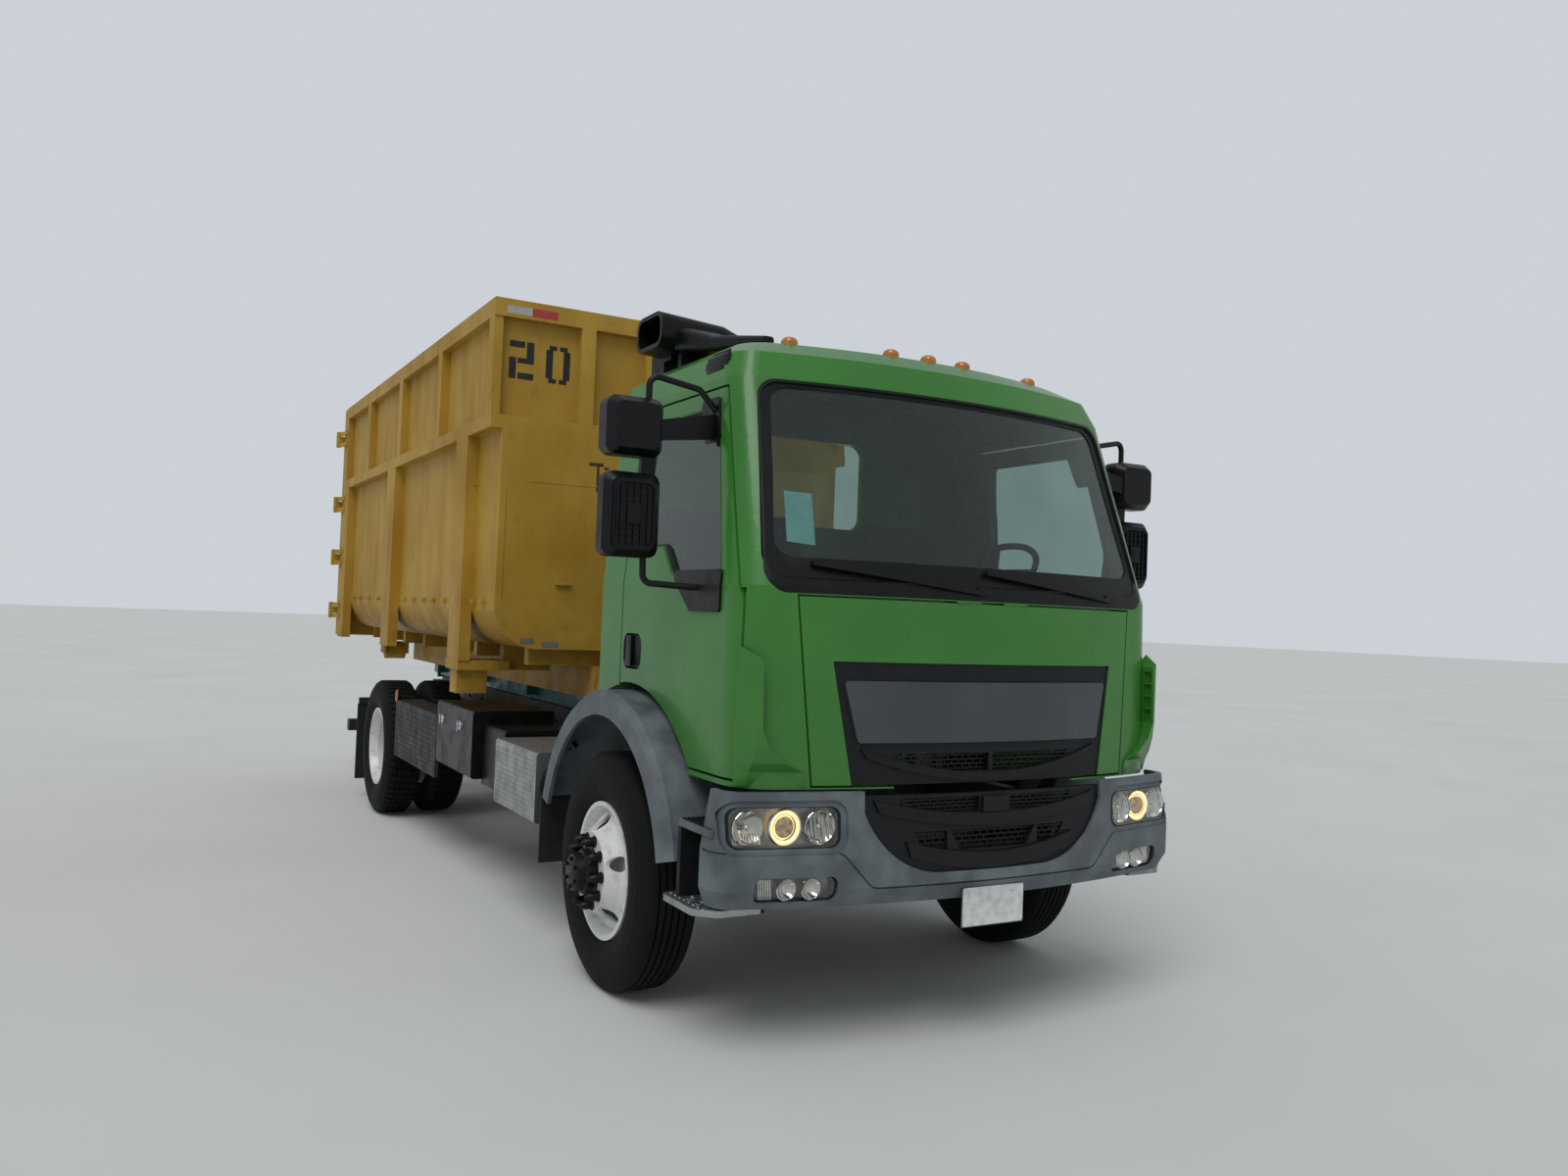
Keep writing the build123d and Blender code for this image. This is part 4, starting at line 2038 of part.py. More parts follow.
# Pull frame on the front wall, with the bar that the hook holds
with BuildPart() as pull_frame:
    for side in SIDES:
        with BuildSketch(Plane.YZ.offset(BOX_FRONT_X + SEAT)):
            with BuildLine():
                Polyline(
                    (side * 505, TILT_TOP + 25),
                    (side * 405, TILT_TOP + 25),
                    (side * 60, HOOK_BAR_Z - 40),
                    (side * 60, HOOK_BAR_Z + 60),
                    (side * 150, HOOK_BAR_Z + 60),
                    close=True,
                )
            make_face()
        extrude(amount=60)
        bar(
            (BOX_FRONT_X + 50, HOOK_BAR_X + 34),
            across(side, 66, 90),
            (HOOK_BAR_Z - 50, HOOK_BAR_Z + 60),
        )
    pin((HOOK_BAR_X, 0, HOOK_BAR_Z), HOOK_BAR_R, 160)
save(pull_frame, "pull_frame")

# Rear gate, hinged on the right
with BuildPart() as gate:
    bar((GATE_REAR_X, GATE_FRONT_X), (-BOX_HALF, BOX_HALF), (GATE_BOTTOM, GATE_TOP))
    bar(
        (GATE_REAR_X + 10, GATE_FRONT_X - 6),
        (-BOX_HALF + 90, BOX_HALF - 90),
        (GATE_BOTTOM + 90, GATE_TOP - 90),
        mode=Mode.SUBTRACT,
    )
    bar(
        (GATE_REAR_X - 1, GATE_REAR_X + 30),
        (-BOX_HALF + 90, BOX_HALF - 90),
        (GATE_BOTTOM + 90, GATE_TOP - 90),
        mode=Mode.SUBTRACT,
    )
    for z in (1700, 2100, 2500, 2900):
        bar((GATE_REAR_X + 12, GATE_FRONT_X - 4), (-BOX_HALF + 80, BOX_HALF - 80), (z - 40, z + 40))
    for z in HINGE_HEIGHTS:
        bar((GATE_REAR_X - 16, GATE_REAR_X), (GATE_HINGE_Y, -BOX_HALF + 200), (z - 30, z + 30))
        pin((GATE_HINGE_X, GATE_HINGE_Y, z), GATE_HINGE_R, 60, (0, 0, 1))
        pin((GATE_HINGE_X, GATE_HINGE_Y, z), 10 + SEAT, 62, (0, 0, 1), mode=Mode.SUBTRACT)
save(gate, "rear_gate")
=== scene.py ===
"""Looks of a two-axle roll-off truck with its open-top container, in metres, +X forward, +Y left, +Z up."""

import json
import math
import random

import bmesh
import bpy
from mathutils import Matrix, Vector


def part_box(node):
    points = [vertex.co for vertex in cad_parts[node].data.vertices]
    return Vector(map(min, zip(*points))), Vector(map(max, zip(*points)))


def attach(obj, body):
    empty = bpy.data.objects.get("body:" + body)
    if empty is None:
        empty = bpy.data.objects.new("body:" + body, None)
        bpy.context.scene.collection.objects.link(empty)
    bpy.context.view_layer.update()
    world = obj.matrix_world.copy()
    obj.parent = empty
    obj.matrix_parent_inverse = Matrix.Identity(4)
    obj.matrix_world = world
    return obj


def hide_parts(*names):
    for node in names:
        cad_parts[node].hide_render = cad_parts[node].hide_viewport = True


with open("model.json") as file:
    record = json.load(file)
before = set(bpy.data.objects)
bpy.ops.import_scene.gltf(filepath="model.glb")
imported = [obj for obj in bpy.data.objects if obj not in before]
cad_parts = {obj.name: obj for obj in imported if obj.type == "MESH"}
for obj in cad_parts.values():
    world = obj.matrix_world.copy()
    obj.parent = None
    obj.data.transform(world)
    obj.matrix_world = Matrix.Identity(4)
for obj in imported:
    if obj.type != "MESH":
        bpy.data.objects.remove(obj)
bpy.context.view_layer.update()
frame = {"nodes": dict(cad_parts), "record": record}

SIDES = ((1, "left"), (-1, "right"))
NODE_SLOTS = {row["node"]: row["material_slot"] for row in frame["record"]["subparts"]}

# Driving dimensions, read from the frame
TYRE_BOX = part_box("tyre_front_right")
FA = (TYRE_BOX[0][0] + TYRE_BOX[1][0]) / 2
TYRE_R = (TYRE_BOX[1][0] - TYRE_BOX[0][0]) / 2
AXLE_Z = TYRE_BOX[0][2] + TYRE_R
REAR_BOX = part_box("tyres_rear_right")
RA = (REAR_BOX[0][0] + REAR_BOX[1][0]) / 2

# The photograph's viewpoint, fitted to points on the truck
CAMERA_AT = (FA + 4.9012, -3.0899, 1.6654)
CAMERA_YAW = 2.6232
CAMERA_PITCH = 0.0238
CAMERA_ROLL = 0.0388
CAMERA_LENS = 27.05
CAMERA_SENSOR = 36.0


# Shader tools

def linear(text):
    """Linear RGBA of an sRGB hex colour."""
    channels = [int(text[i:i + 2], 16) / 255 for i in (1, 3, 5)]
    return tuple(c / 12.92 if c <= 0.04045 else ((c + 0.055) / 1.055) ** 2.4 for c in channels) + (1.0,)


def add(tree, kind, inputs=None, **settings):
    """Add one shader node with its settings; an input is a plain value or another node's output."""
    made = tree.nodes.new("ShaderNode" + kind)
    for name, value in settings.items():
        setattr(made, name, value)
    for name, value in (inputs or {}).items():
        if isinstance(value, bpy.types.NodeSocket):
            tree.links.new(value, made.inputs[name])
        else:
            made.inputs[name].default_value = value
    return made


def begin(name, **sockets):
    """A material with its own values on the surface shader; gives the tree, shader and coordinates."""
    made = bpy.data.materials.new(name)
    made.use_nodes = True
    tree = made.node_tree
    shader = tree.nodes["Principled BSDF"]
    for socket, value in sockets.items():
        shader.inputs[socket.replace("_", " ")].default_value = value
    return made, tree, shader, add(tree, "TexCoord").outputs["Object"]


def clouds(tree, where, size_mm, low, high, stretch=(1, 1, 1), detail=4.0, lean=0.5):
    """Soft patches about size_mm across, as a value that runs from 0 at low to 1 at high."""
    placed = add(tree, "Mapping", {"Vector": where, "Scale": stretch}).outputs[0]
    noise = add(tree, "TexNoise", {
        "Vector": placed, "Scale": 1000 / size_mm, "Detail": detail, "Roughness": lean,
    })
    return add(tree, "MapRange", {"Value": noise.outputs[0], "From Min": low, "From Max": high}).outputs[0]


def blended(tree, factor, first, second):
    """Colour that goes from first to second with the factor."""
    return add(tree, "Mix", {0: factor, 6: first, 7: second}, data_type="RGBA").outputs[2]


def scaled(tree, value, low, high):
    """A 0 to 1 value moved to the span from low to high."""
    return add(tree, "MapRange", {"Value": value, "To Min": low, "To Max": high}).outputs[0]


def height_band(tree, where, low, high):
    """1 under the low height, falling to 0 at the high one."""
    up = add(tree, "SeparateXYZ", {0: where}).outputs[2]
    return add(tree, "MapRange", {"Value": up, "From Min": high, "From Max": low}).outputs[0]


def times(tree, first, second):
    """Product of two values."""
    return add(tree, "Math", {0: first, 1: second}, operation="MULTIPLY").outputs[0]


def relief(tree, shader, height, depth_mm, strength=1.0):
    """Bump from a 0 to 1 height that stands for depth_mm."""
    bump = add(tree, "Bump", {"Height": height, "Distance": depth_mm / 1000, "Strength": strength})
    tree.links.new(bump.outputs[0], shader.inputs["Normal"])


def join(tree, colour, shader, roughness=None):
    """Put a colour, and where given a roughness, on the surface shader."""
    tree.links.new(colour, shader.inputs["Base Color"])
    if roughness is not None:
        tree.links.new(roughness, shader.inputs["Roughness"])


# Materials

def enamel_green():
    """Two-pack enamel on pressed steel: glossy mid green, a faint orange peel, dust low down."""
    made, tree, shader, where = begin(
        "enamel_green", Coat_Weight=0.28, Coat_Roughness=0.07, Roughness=0.4, Specular_IOR_Level=0.35)
    fade = clouds(tree, where, 900, 0.35, 0.7)
    paint = blended(tree, fade, linear("#317225"), linear("#3D7F30"))
    low = times(tree, height_band(tree, where, 1.0, 1.5), clouds(tree, where, 60, 0.42, 0.75))
    colour = blended(tree, scaled(tree, low, 0, 0.45), paint, linear("#4A5840"))
    join(tree, colour, shader, scaled(tree, clouds(tree, where, 220, 0.4, 0.8), 0.26, 0.42))
    relief(tree, shader, clouds(tree, where, 9, 0.3, 0.7), 0.12, 0.35)
    return made


def bumper_polypropylene():
    """Moulded polypropylene, sun-bleached blue grey: chalky patches, fine grain, dark scuffs."""
    made, tree, shader, where = begin("bumper_polypropylene", Roughness=0.62)
    bleach = clouds(tree, where, 150, 0.38, 0.66, detail=6)
    grey = blended(tree, bleach, linear("#4E555A"), linear("#6C7478"))
    scuffs = clouds(tree, where, 45, 0.62, 0.7, (1, 1, 3), 8, 0.7)
    colour = blended(tree, scaled(tree, scuffs, 0, 0.55), grey, linear("#383D41"))
    join(tree, colour, shader, scaled(tree, bleach, 0.5, 0.72))
    relief(tree, shader, clouds(tree, where, 2.4, 0.35, 0.65, detail=2), 0.12, 0.5)
    return made


def charcoal_polypropylene():
    """Unpainted charcoal polypropylene: matt, slightly greyed where dust lies."""
    made, tree, shader, where = begin("charcoal_polypropylene", Roughness=0.55, Specular_IOR_Level=0.3)
    dust = clouds(tree, where, 70, 0.42, 0.74, detail=6)
    colour = blended(tree, scaled(tree, dust, 0, 0.5), linear("#0E1011"), linear("#1E2022"))
    join(tree, colour, shader, scaled(tree, dust, 0.46, 0.66))
    relief(tree, shader, clouds(tree, where, 2.0, 0.35, 0.65, detail=2), 0.1, 0.5)
    return made


def slate_lacquer():
    """Lacquered moulding of the name panel: dark slate grey, satin, with a few stone chips."""
    made, tree, shader, where = begin("slate_lacquer", Coat_Weight=0.3, Coat_Roughness=0.15, Roughness=0.4)
    haze = clouds(tree, where, 260, 0.35, 0.7)
    base = blended(tree, haze, linear("#33373C"), linear("#3C4146"))
    chips = clouds(tree, where, 14, 0.735, 0.75, detail=2)
    join(tree, blended(tree, chips, base, linear("#17191B")), shader)
    relief(tree, shader, clouds(tree, where, 7, 0.3, 0.7), 0.08, 0.3)
    return made


def grained_abs():
    """Black grained ABS of mirrors and screen edge: soft sheen, light dust."""
    made, tree, shader, where = begin("grained_abs", Roughness=0.45, Specular_IOR_Level=0.3)
    dust = clouds(tree, where, 90, 0.45, 0.8, detail=6)
    colour = blended(tree, scaled(tree, dust, 0, 0.4), linear("#060708"), linear("#141618"))
    join(tree, colour, shader, scaled(tree, dust, 0.34, 0.55))
    relief(tree, shader, clouds(tree, where, 1.8, 0.35, 0.65, detail=2), 0.1, 0.5)
    return made


def chassis_paint():
    """Black chassis paint under road dust: flat, brownish in patches and low down."""
    made, tree, shader, where = begin("chassis_paint", Roughness=0.6)
    dust = clouds(tree, where, 120, 0.4, 0.72, detail=8, lean=0.6)
    colour = blended(tree, scaled(tree, dust, 0, 0.6), linear("#121314"), linear("#2E2B28"))
    rust = clouds(tree, where, 26, 0.66, 0.72, detail=6)
    colour = blended(tree, scaled(tree, rust, 0, 0.55), colour, linear("#432C1E"))
    join(tree, colour, shader, scaled(tree, dust, 0.45, 0.8))
    relief(tree, shader, clouds(tree, where, 6, 0.3, 0.7, detail=6), 0.25, 0.4)
    return made


def cast_iron():
    """Cast iron, oily and dusty: grainy skin, brown bloom."""
    made, tree, shader, where = begin("cast_iron", Metallic=0.3, Roughness=0.6)
    bloom = clouds(tree, where, 80, 0.4, 0.7, detail=8)
    join(tree, blended(tree, bloom, linear("#2C2B2A"), linear("#4B4138")), shader)
    relief(tree, shader, clouds(tree, where, 3.5, 0.3, 0.7, detail=4), 0.5, 0.6)
    return made


def wheel_enamel():
    """White wheel enamel on steel: chalky gloss with brake dust round the edges and streaks."""
    made, tree, shader, where = begin("wheel_enamel", Coat_Weight=0.2, Roughness=0.4)
    dirt = clouds(tree, where, 60, 0.5, 0.78, detail=8, lean=0.62)
    base = blended(tree, scaled(tree, dirt, 0, 0.7), linear("#D9DAD6"), linear("#8B8A84"))
    spots = clouds(tree, where, 12, 0.68, 0.73, detail=4)
    join(tree, blended(tree, scaled(tree, spots, 0, 0.6), base, linear("#6A5645")), shader,
         scaled(tree, dirt, 0.32, 0.6))
    relief(tree, shader, clouds(tree, where, 5, 0.3, 0.7), 0.12, 0.3)
    return made


def tyre_rubber():
    """Carbon-black tread rubber: dead matt, grey-brown dust in the grooves and on the walls."""
    made, tree, shader, where = begin("tyre_rubber", Roughness=0.85, Specular_IOR_Level=0.2)
    dust = clouds(tree, where, 140, 0.42, 0.75, detail=8, lean=0.6)
    join(tree, blended(tree, scaled(tree, dust, 0, 0.55), linear("#0A0B0B"), linear("#201F1E")), shader,
         scaled(tree, dust, 0.7, 0.92))
    relief(tree, shader, clouds(tree, where, 4, 0.3, 0.7, detail=6), 0.2, 0.4)
    return made


def rubber_sheet():
    """Flat rubber sheet of flaps and seals: black, dusty, faintly rippled."""
    made, tree, shader, where = begin("rubber_sheet", Roughness=0.7)
    dust = clouds(tree, where, 110, 0.4, 0.75, detail=6)
    join(tree, blended(tree, scaled(tree, dust, 0, 0.6), linear("#101112"), linear("#292826")), shader)
    relief(tree, shader, clouds(tree, where, 90, 0.3, 0.7, detail=2), 2.0, 0.3)
    return made


def laminated_glass():
    """Laminated green-tinted glass: clear, with a dusty film that takes the sky."""
    made, tree, shader, where = begin(
        "laminated_glass", Roughness=0.0, IOR=1.5, Transmission_Weight=1.0)
    film = clouds(tree, where, 380, 0.3, 0.8, detail=6)
    join(tree, blended(tree, film, linear("#B9CBC4"), linear("#AEBFBA")), shader,
         scaled(tree, film, 0.0, 0.004))
    return made


def lens_polycarbonate():
    """Clear polycarbonate lens with a slight yellowing."""
    made, tree, shader, where = begin(
        "lens_polycarbonate", Roughness=0.03, IOR=1.58, Transmission_Weight=1.0)
    haze = clouds(tree, where, 60, 0.3, 0.8)
    join(tree, blended(tree, haze, linear("#F4F3EC"), linear("#E6E5DC")), shader)
    return made


def amber_polycarbonate():
    """Amber lamp lens: deep orange, half clear, fluted inside."""
    made, tree, shader, where = begin(
        "amber_polycarbonate", Roughness=0.12, IOR=1.58, Transmission_Weight=0.35, Coat_Weight=0.5)
    glow = clouds(tree, where, 30, 0.3, 0.8)
    join(tree, blended(tree, glow, linear("#E58E1E"), linear("#CC7014")), shader)
    relief(tree, shader, clouds(tree, where, 6, 0.3, 0.7, (1, 1, 0.05)), 0.6, 0.4)
    return made


def red_polycarbonate():
    """Red tail-lamp lens with an inner flute."""
    made, tree, shader, where = begin("red_polycarbonate", Roughness=0.12, IOR=1.58, Coat_Weight=0.5)
    glow = clouds(tree, where, 30, 0.3, 0.8)
    join(tree, blended(tree, glow, linear("#A51C18"), linear("#7C1210")), shader)
    relief(tree, shader, clouds(tree, where, 8, 0.3, 0.7), 0.6, 0.4)
    return made


def cab_trim():
    """Grained dark grey vinyl and moulding inside the cab."""
    made, tree, shader, where = begin("cab_trim", Roughness=0.6)
    wear = clouds(tree, where, 160, 0.4, 0.75, detail=5)
    join(tree, blended(tree, wear, linear("#4C5150"), linear("#5D6361")), shader)
    relief(tree, shader, clouds(tree, where, 2.2, 0.35, 0.65, detail=2), 0.15, 0.5)
    return made


def seat_cloth():
    """Flat-woven seat cloth: dark grey, its weave drawn coarse, 19 mm a thread, so that it shows."""
    made, tree, shader, where = begin("seat_cloth", Roughness=0.9, Sheen_Weight=0.3, Sheen_Roughness=0.5)
    # At scale 1 a wave repeats every 314 mm
    spacing = {"Vector": where, "Scale": 50 / 3}
    weave = add(tree, "TexWave", spacing, bands_direction="Z")
    cross = add(tree, "TexWave", spacing, bands_direction="Y")
    thread = times(tree, weave.outputs[1], cross.outputs[1])
    wear = clouds(tree, where, 120, 0.4, 0.75)
    join(tree, blended(tree, wear, linear("#2C2E33"), linear("#3B3E44")), shader)
    relief(tree, shader, thread, 0.5, 0.6)
    return made


def hoist_teal():
    """Teal machine enamel on welded steel: dull gloss, grease and dust."""
    made, tree, shader, where = begin("hoist_teal", Roughness=0.45, Coat_Weight=0.15)
    grime = clouds(tree, where, 130, 0.42, 0.75, detail=8, lean=0.6)
    paint = blended(tree, clouds(tree, where, 500, 0.3, 0.7), linear("#0B5450"), linear("#11625D"))
    join(tree, blended(tree, scaled(tree, grime, 0, 0.75), paint, linear("#2B302C")), shader,
         scaled(tree, grime, 0.35, 0.75))
    relief(tree, shader, clouds(tree, where, 8, 0.3, 0.7, detail=6), 0.25, 0.4)
    return made


def hard_chrome():
    """Hard-chromed piston rod: mirror-like with a thin oil film."""
    made, tree, shader, where = begin("hard_chrome", Metallic=1.0, Roughness=0.12)
    film = clouds(tree, where, 50, 0.4, 0.8)
    join(tree, blended(tree, film, linear("#C9CCCE"), linear("#AEB0AE")), shader,
         scaled(tree, film, 0.08, 0.25))
    return made


def bright_aluminium():
    """Mill-bright aluminium sheet: pale, finely brushed, dulled by road film."""
    made, tree, shader, where = begin("bright_aluminium", Metallic=0.9, Roughness=0.35)
    film = clouds(tree, where, 110, 0.4, 0.75, detail=8)
    join(tree, blended(tree, film, linear("#ACAEAF"), linear("#858684")), shader,
         scaled(tree, film, 0.28, 0.5))
    brushed = clouds(tree, where, 1.5, 0.3, 0.7, (0.03, 1, 1), 2)
    relief(tree, shader, brushed, 0.05, 0.4)
    return made


def mustard_paint():
    """Brushed-on mustard machine paint on welded plate: soft faded patches, faint runs, dirt, rust."""
    made, tree, shader, where = begin("mustard_paint", Roughness=0.6, Specular_IOR_Level=0.3)
    fade = clouds(tree, where, 520, 0.32, 0.7, detail=6)
    paint = blended(tree, fade, linear("#A67E24"), linear("#BC973D"))
    runs = clouds(tree, where, 170, 0.44, 0.8, (1, 1, 0.16), 5, 0.5)
    colour = blended(tree, scaled(tree, runs, 0, 0.38), paint, linear("#8A6C28"))
    low = times(tree, height_band(tree, where, 1.1, 1.9), clouds(tree, where, 90, 0.35, 0.7, detail=8))
    colour = blended(tree, scaled(tree, low, 0, 0.45), colour, linear("#6B4C1F"))
    stains = clouds(tree, where, 75, 0.6, 0.74, (1, 1, 0.5), 8, 0.65)
    colour = blended(tree, scaled(tree, stains, 0, 0.35), colour, linear("#5F4A22"))
    rust = clouds(tree, where, 15, 0.705, 0.74, (1, 1, 0.7), 6, 0.6)
    colour = blended(tree, scaled(tree, rust, 0, 0.9), colour, linear("#3F2615"))
    join(tree, colour, shader, scaled(tree, runs, 0.5, 0.78))
    relief(tree, shader, clouds(tree, where, 320, 0.3, 0.7, detail=5), 5.0, 0.35)
    return made


def stencil_black():
    """Black stencil paint, thin at its edges."""
    made, tree, shader, where = begin("stencil_black", Roughness=0.6)
    thin = clouds(tree, where, 40, 0.5, 0.85, detail=6)
    join(tree, blended(tree, scaled(tree, thin, 0, 0.4), linear("#17191B"), linear("#4B4230")), shader)
    relief(tree, shader, clouds(tree, where, 5, 0.3, 0.7), 0.1, 0.3)
    return made


def grey_primer():
    """Grey zinc primer left bare over weld repairs, streaked at the edge."""
    made, tree, shader, where = begin("grey_primer", Roughness=0.7)
    runs = clouds(tree, where, 30, 0.4, 0.75, (1, 1, 0.2), 6)
    join(tree, blended(tree, runs, linear("#6E7175"), linear("#5A5C5E")), shader)
    relief(tree, shader, clouds(tree, where, 12, 0.3, 0.7), 0.3, 0.4)
    return made


def retroreflective(name, pale, deep):
    """Retroreflective tape: tiny cells under a clear film, drawn at 4 mm so that they show."""
    made, tree, shader, where = begin(name, Roughness=0.3, Coat_Weight=0.4)
    cells = add(tree, "TexVoronoi", {"Vector": where, "Scale": 1000 / 4}).outputs[0]
    dirt = clouds(tree, where, 50, 0.5, 0.8, detail=6)
    colour = blended(tree, cells, linear(pale), linear(deep))
    join(tree, blended(tree, scaled(tree, dirt, 0, 0.5), colour, linear("#6D675C")), shader)
    relief(tree, shader, cells, 0.15, 0.3)
    return made


def vacuum_chrome():
    """Vacuum-metallised reflector: bright, slightly wavy."""
    made, tree, shader, where = begin("vacuum_chrome", Metallic=1.0, Roughness=0.08)
    waves = clouds(tree, where, 25, 0.3, 0.8)
    join(tree, blended(tree, waves, linear("#E4E5E6"), linear("#C4C6C8")), shader)
    relief(tree, shader, waves, 0.3, 0.3)
    return made


def lit_bulb():
    """Warm glow of a switched-on halogen projector."""
    made, tree, shader, where = begin("lit_bulb", Roughness=0.3, Emission_Strength=1.6)
    shader.inputs["Emission Color"].default_value = linear("#FFD9A0")
    warm = clouds(tree, where, 20, 0.3, 0.8)
    join(tree, blended(tree, warm, linear("#FFE7BF"), linear("#F2B765")), shader)
    return made


def projector_eye():
    """Lens of the lit projector: clear, warm at the rim, grey in the middle."""
    made, tree, shader, where = begin("projector_eye", Roughness=0.05, IOR=1.5, Coat_Weight=1.0)
    shader.inputs["Emission Color"].default_value = linear("#FFCC88")
    shader.inputs["Emission Strength"].default_value = 0.12
    swirl = clouds(tree, where, 26, 0.42, 0.58, detail=3)
    join(tree, blended(tree, swirl, linear("#6F675A"), linear("#D9BE8E")), shader)
    return made


def lamp_tray():
    """Metallised tray behind the reflectors: satin, darker than the bowls."""
    made, tree, shader, where = begin("lamp_tray", Metallic=0.9, Roughness=0.28)
    waves = clouds(tree, where, 30, 0.3, 0.8)
    join(tree, blended(tree, waves, linear("#75777A"), linear("#9A9CA0")), shader)
    return made


def scrape_rust():
    """Paint scraped to dark rust."""
    made, tree, shader, where = begin("scrape_rust", Roughness=0.85)
    patches = clouds(tree, where, 14, 0.35, 0.65, detail=6)
    join(tree, blended(tree, patches, linear("#2E1D14"), linear("#5B3A20")), shader)
    relief(tree, shader, patches, 0.4, 0.5)
    return made


def mirror_silver():
    """Silvered mirror glass."""
    made, tree, shader, where = begin("mirror_silver", Metallic=1.0, Roughness=0.03)
    film = clouds(tree, where, 60, 0.4, 0.8)
    join(tree, blended(tree, film, linear("#D4D8DA"), linear("#C2C6C8")), shader)
    return made


def plain_paper():
    """Blank pale blue-green slip of paper, slightly crumpled."""
    made, tree, shader, where = begin("plain_paper", Roughness=0.8)
    soft = clouds(tree, where, 40, 0.3, 0.8)
    join(tree, blended(tree, soft, linear("#A9DDD8"), linear("#98CCC8")), shader)
    relief(tree, shader, soft, 0.8, 0.4)
    return made


def plate_sheet():
    """Pressed number-plate sheet, blank and pale, with road film."""
    made, tree, shader, where = begin("plate_sheet", Roughness=0.4)
    film = clouds(tree, where, 35, 0.45, 0.8, detail=6)
    join(tree, blended(tree, scaled(tree, film, 0, 0.6), linear("#D6D8D6"), linear("#94938C")), shader)
    relief(tree, shader, clouds(tree, where, 20, 0.3, 0.7), 0.2, 0.4)
    return made


BY_SLOT = {
    "cab_paint": enamel_green(),
    "bumper_plastic": bumper_polypropylene(),
    "grille_plastic": charcoal_polypropylene(),
    "panel_grey": slate_lacquer(),
    "black_plastic": grained_abs(),
    "black_paint": chassis_paint(),
    "engine_iron": cast_iron(),
    "axle_paint": cast_iron(),
    "wheel_paint": wheel_enamel(),
    "tyre_rubber": tyre_rubber(),
    "flap_rubber": rubber_sheet(),
    "glass": laminated_glass(),
    "lamp_glass": lens_polycarbonate(),
    "amber": amber_polycarbonate(),
    "trim_dark": cab_trim(),
    "seat_fabric": seat_cloth(),
    "hoist_paint": hoist_teal(),
    "cylinder_steel": hard_chrome(),
    "aluminium_tread": bright_aluminium(),
    "tank_metal": bright_aluminium(),
    "container_paint": mustard_paint(),
}
REFLECTOR = vacuum_chrome()
GLOW = lit_bulb()
MIRROR = mirror_silver()
STENCIL = stencil_black()
PRIMER = grey_primer()
WHITE_TAPE = retroreflective("white_tape", "#B9B7AE", "#A3A198")
RED_TAPE = retroreflective("red_tape", "#C22F2B", "#99201D")
PAPER = plain_paper()
PLATE = plate_sheet()
EYE = projector_eye()
LAMP_TRAY = lamp_tray()
SCRAPE = scrape_rust()
RED_LENS = red_polycarbonate()

for node_name, node_object in frame["nodes"].items():
    node_object.data.materials.clear()
    node_object.data.materials.append(BY_SLOT[NODE_SLOTS[node_name]])


# Mesh tools; every piece is made in the truck's own coordinates

def piece_from(bm, name, body, slot, material=None, covers=(), smooth_under=35):
    """Turn a bmesh into a piece that rides on a body and takes a slot's finish."""
    bmesh.ops.recalc_face_normals(bm, faces=bm.faces)
    mesh = bpy.data.meshes.new(name)
    bm.to_mesh(mesh)
    bm.free()
    mesh.materials.append(material or BY_SLOT[slot])
    mesh.shade_smooth()
    mesh.set_sharp_from_angle(angle=math.radians(smooth_under))
    piece = bpy.data.objects.new(name, mesh)
    bpy.context.scene.collection.objects.link(piece)
    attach(piece, body)
    if covers:
        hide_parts(*covers)
    return piece


def block(bm, low, high, bevel=0.0):
    """A box between two corners, its edges rounded by bevel."""
    middle = (Vector(low) + Vector(high)) / 2
    size = Vector(high) - Vector(low)
    place = Matrix.Translation(middle) @ Matrix.Diagonal((*size, 1))
    made = bmesh.ops.create_cube(bm, size=1, matrix=place)["verts"]
    if bevel:
        edges = {edge for vert in made for edge in vert.link_edges}
        bmesh.ops.bevel(bm, geom=list(edges), offset=bevel, segments=2, affect="EDGES", profile=0.6)


def rod(bm, start, end, radius, sides=16):
    """A round bar between two points."""
    run = Vector(end) - Vector(start)
    turn = run.to_track_quat("Z", "Y").to_matrix().to_4x4()
    place = Matrix.Translation((Vector(start) + Vector(end)) / 2) @ turn
    bmesh.ops.create_cone(
        bm, cap_ends=True, segments=sides, radius1=radius, radius2=radius, depth=run.length, matrix=place)


def turned(bm, profile, centre, axis, sides=48):
    """Turn a profile, as (distance along the axis, radius) pairs, about an axis through a point."""
    axis = Vector(axis).normalized()
    across = axis.orthogonal().normalized()
    other = axis.cross(across)
    rings = []
    for step in range(sides):
        angle = 2 * math.pi * step / sides
        out = across * math.cos(angle) + other * math.sin(angle)
        spots = [Vector(centre) + axis * along + out * radius for along, radius in profile]
        rings.append([bm.verts.new(spot) for spot in spots])
    for here, there in zip(rings, rings[1:] + rings[:1]):
        for i in range(len(profile) - 1):
            bm.faces.new((here[i], here[i + 1], there[i + 1], there[i]))


def rounded(corners, radius, steps=6):
    """Loop of points round a convex outline whose corners are rounded."""
    loop = []
    count = len(corners)
    for i, corner in enumerate(corners):
        here = Vector(corner)
        before = (Vector(corners[i - 1]) - here).normalized()
        after = (Vector(corners[(i + 1) % count]) - here).normalized()
        half = before.angle(after) / 2
        reach = radius / math.tan(half)
        first, last = here + before * reach, here + after * reach
        centre = here + (before + after).normalized() * (radius / math.sin(half))
        for step in range(steps + 1):
            spot = first.lerp(last, step / steps)
            loop.append(centre + (spot - centre).normalized() * radius)
    return loop


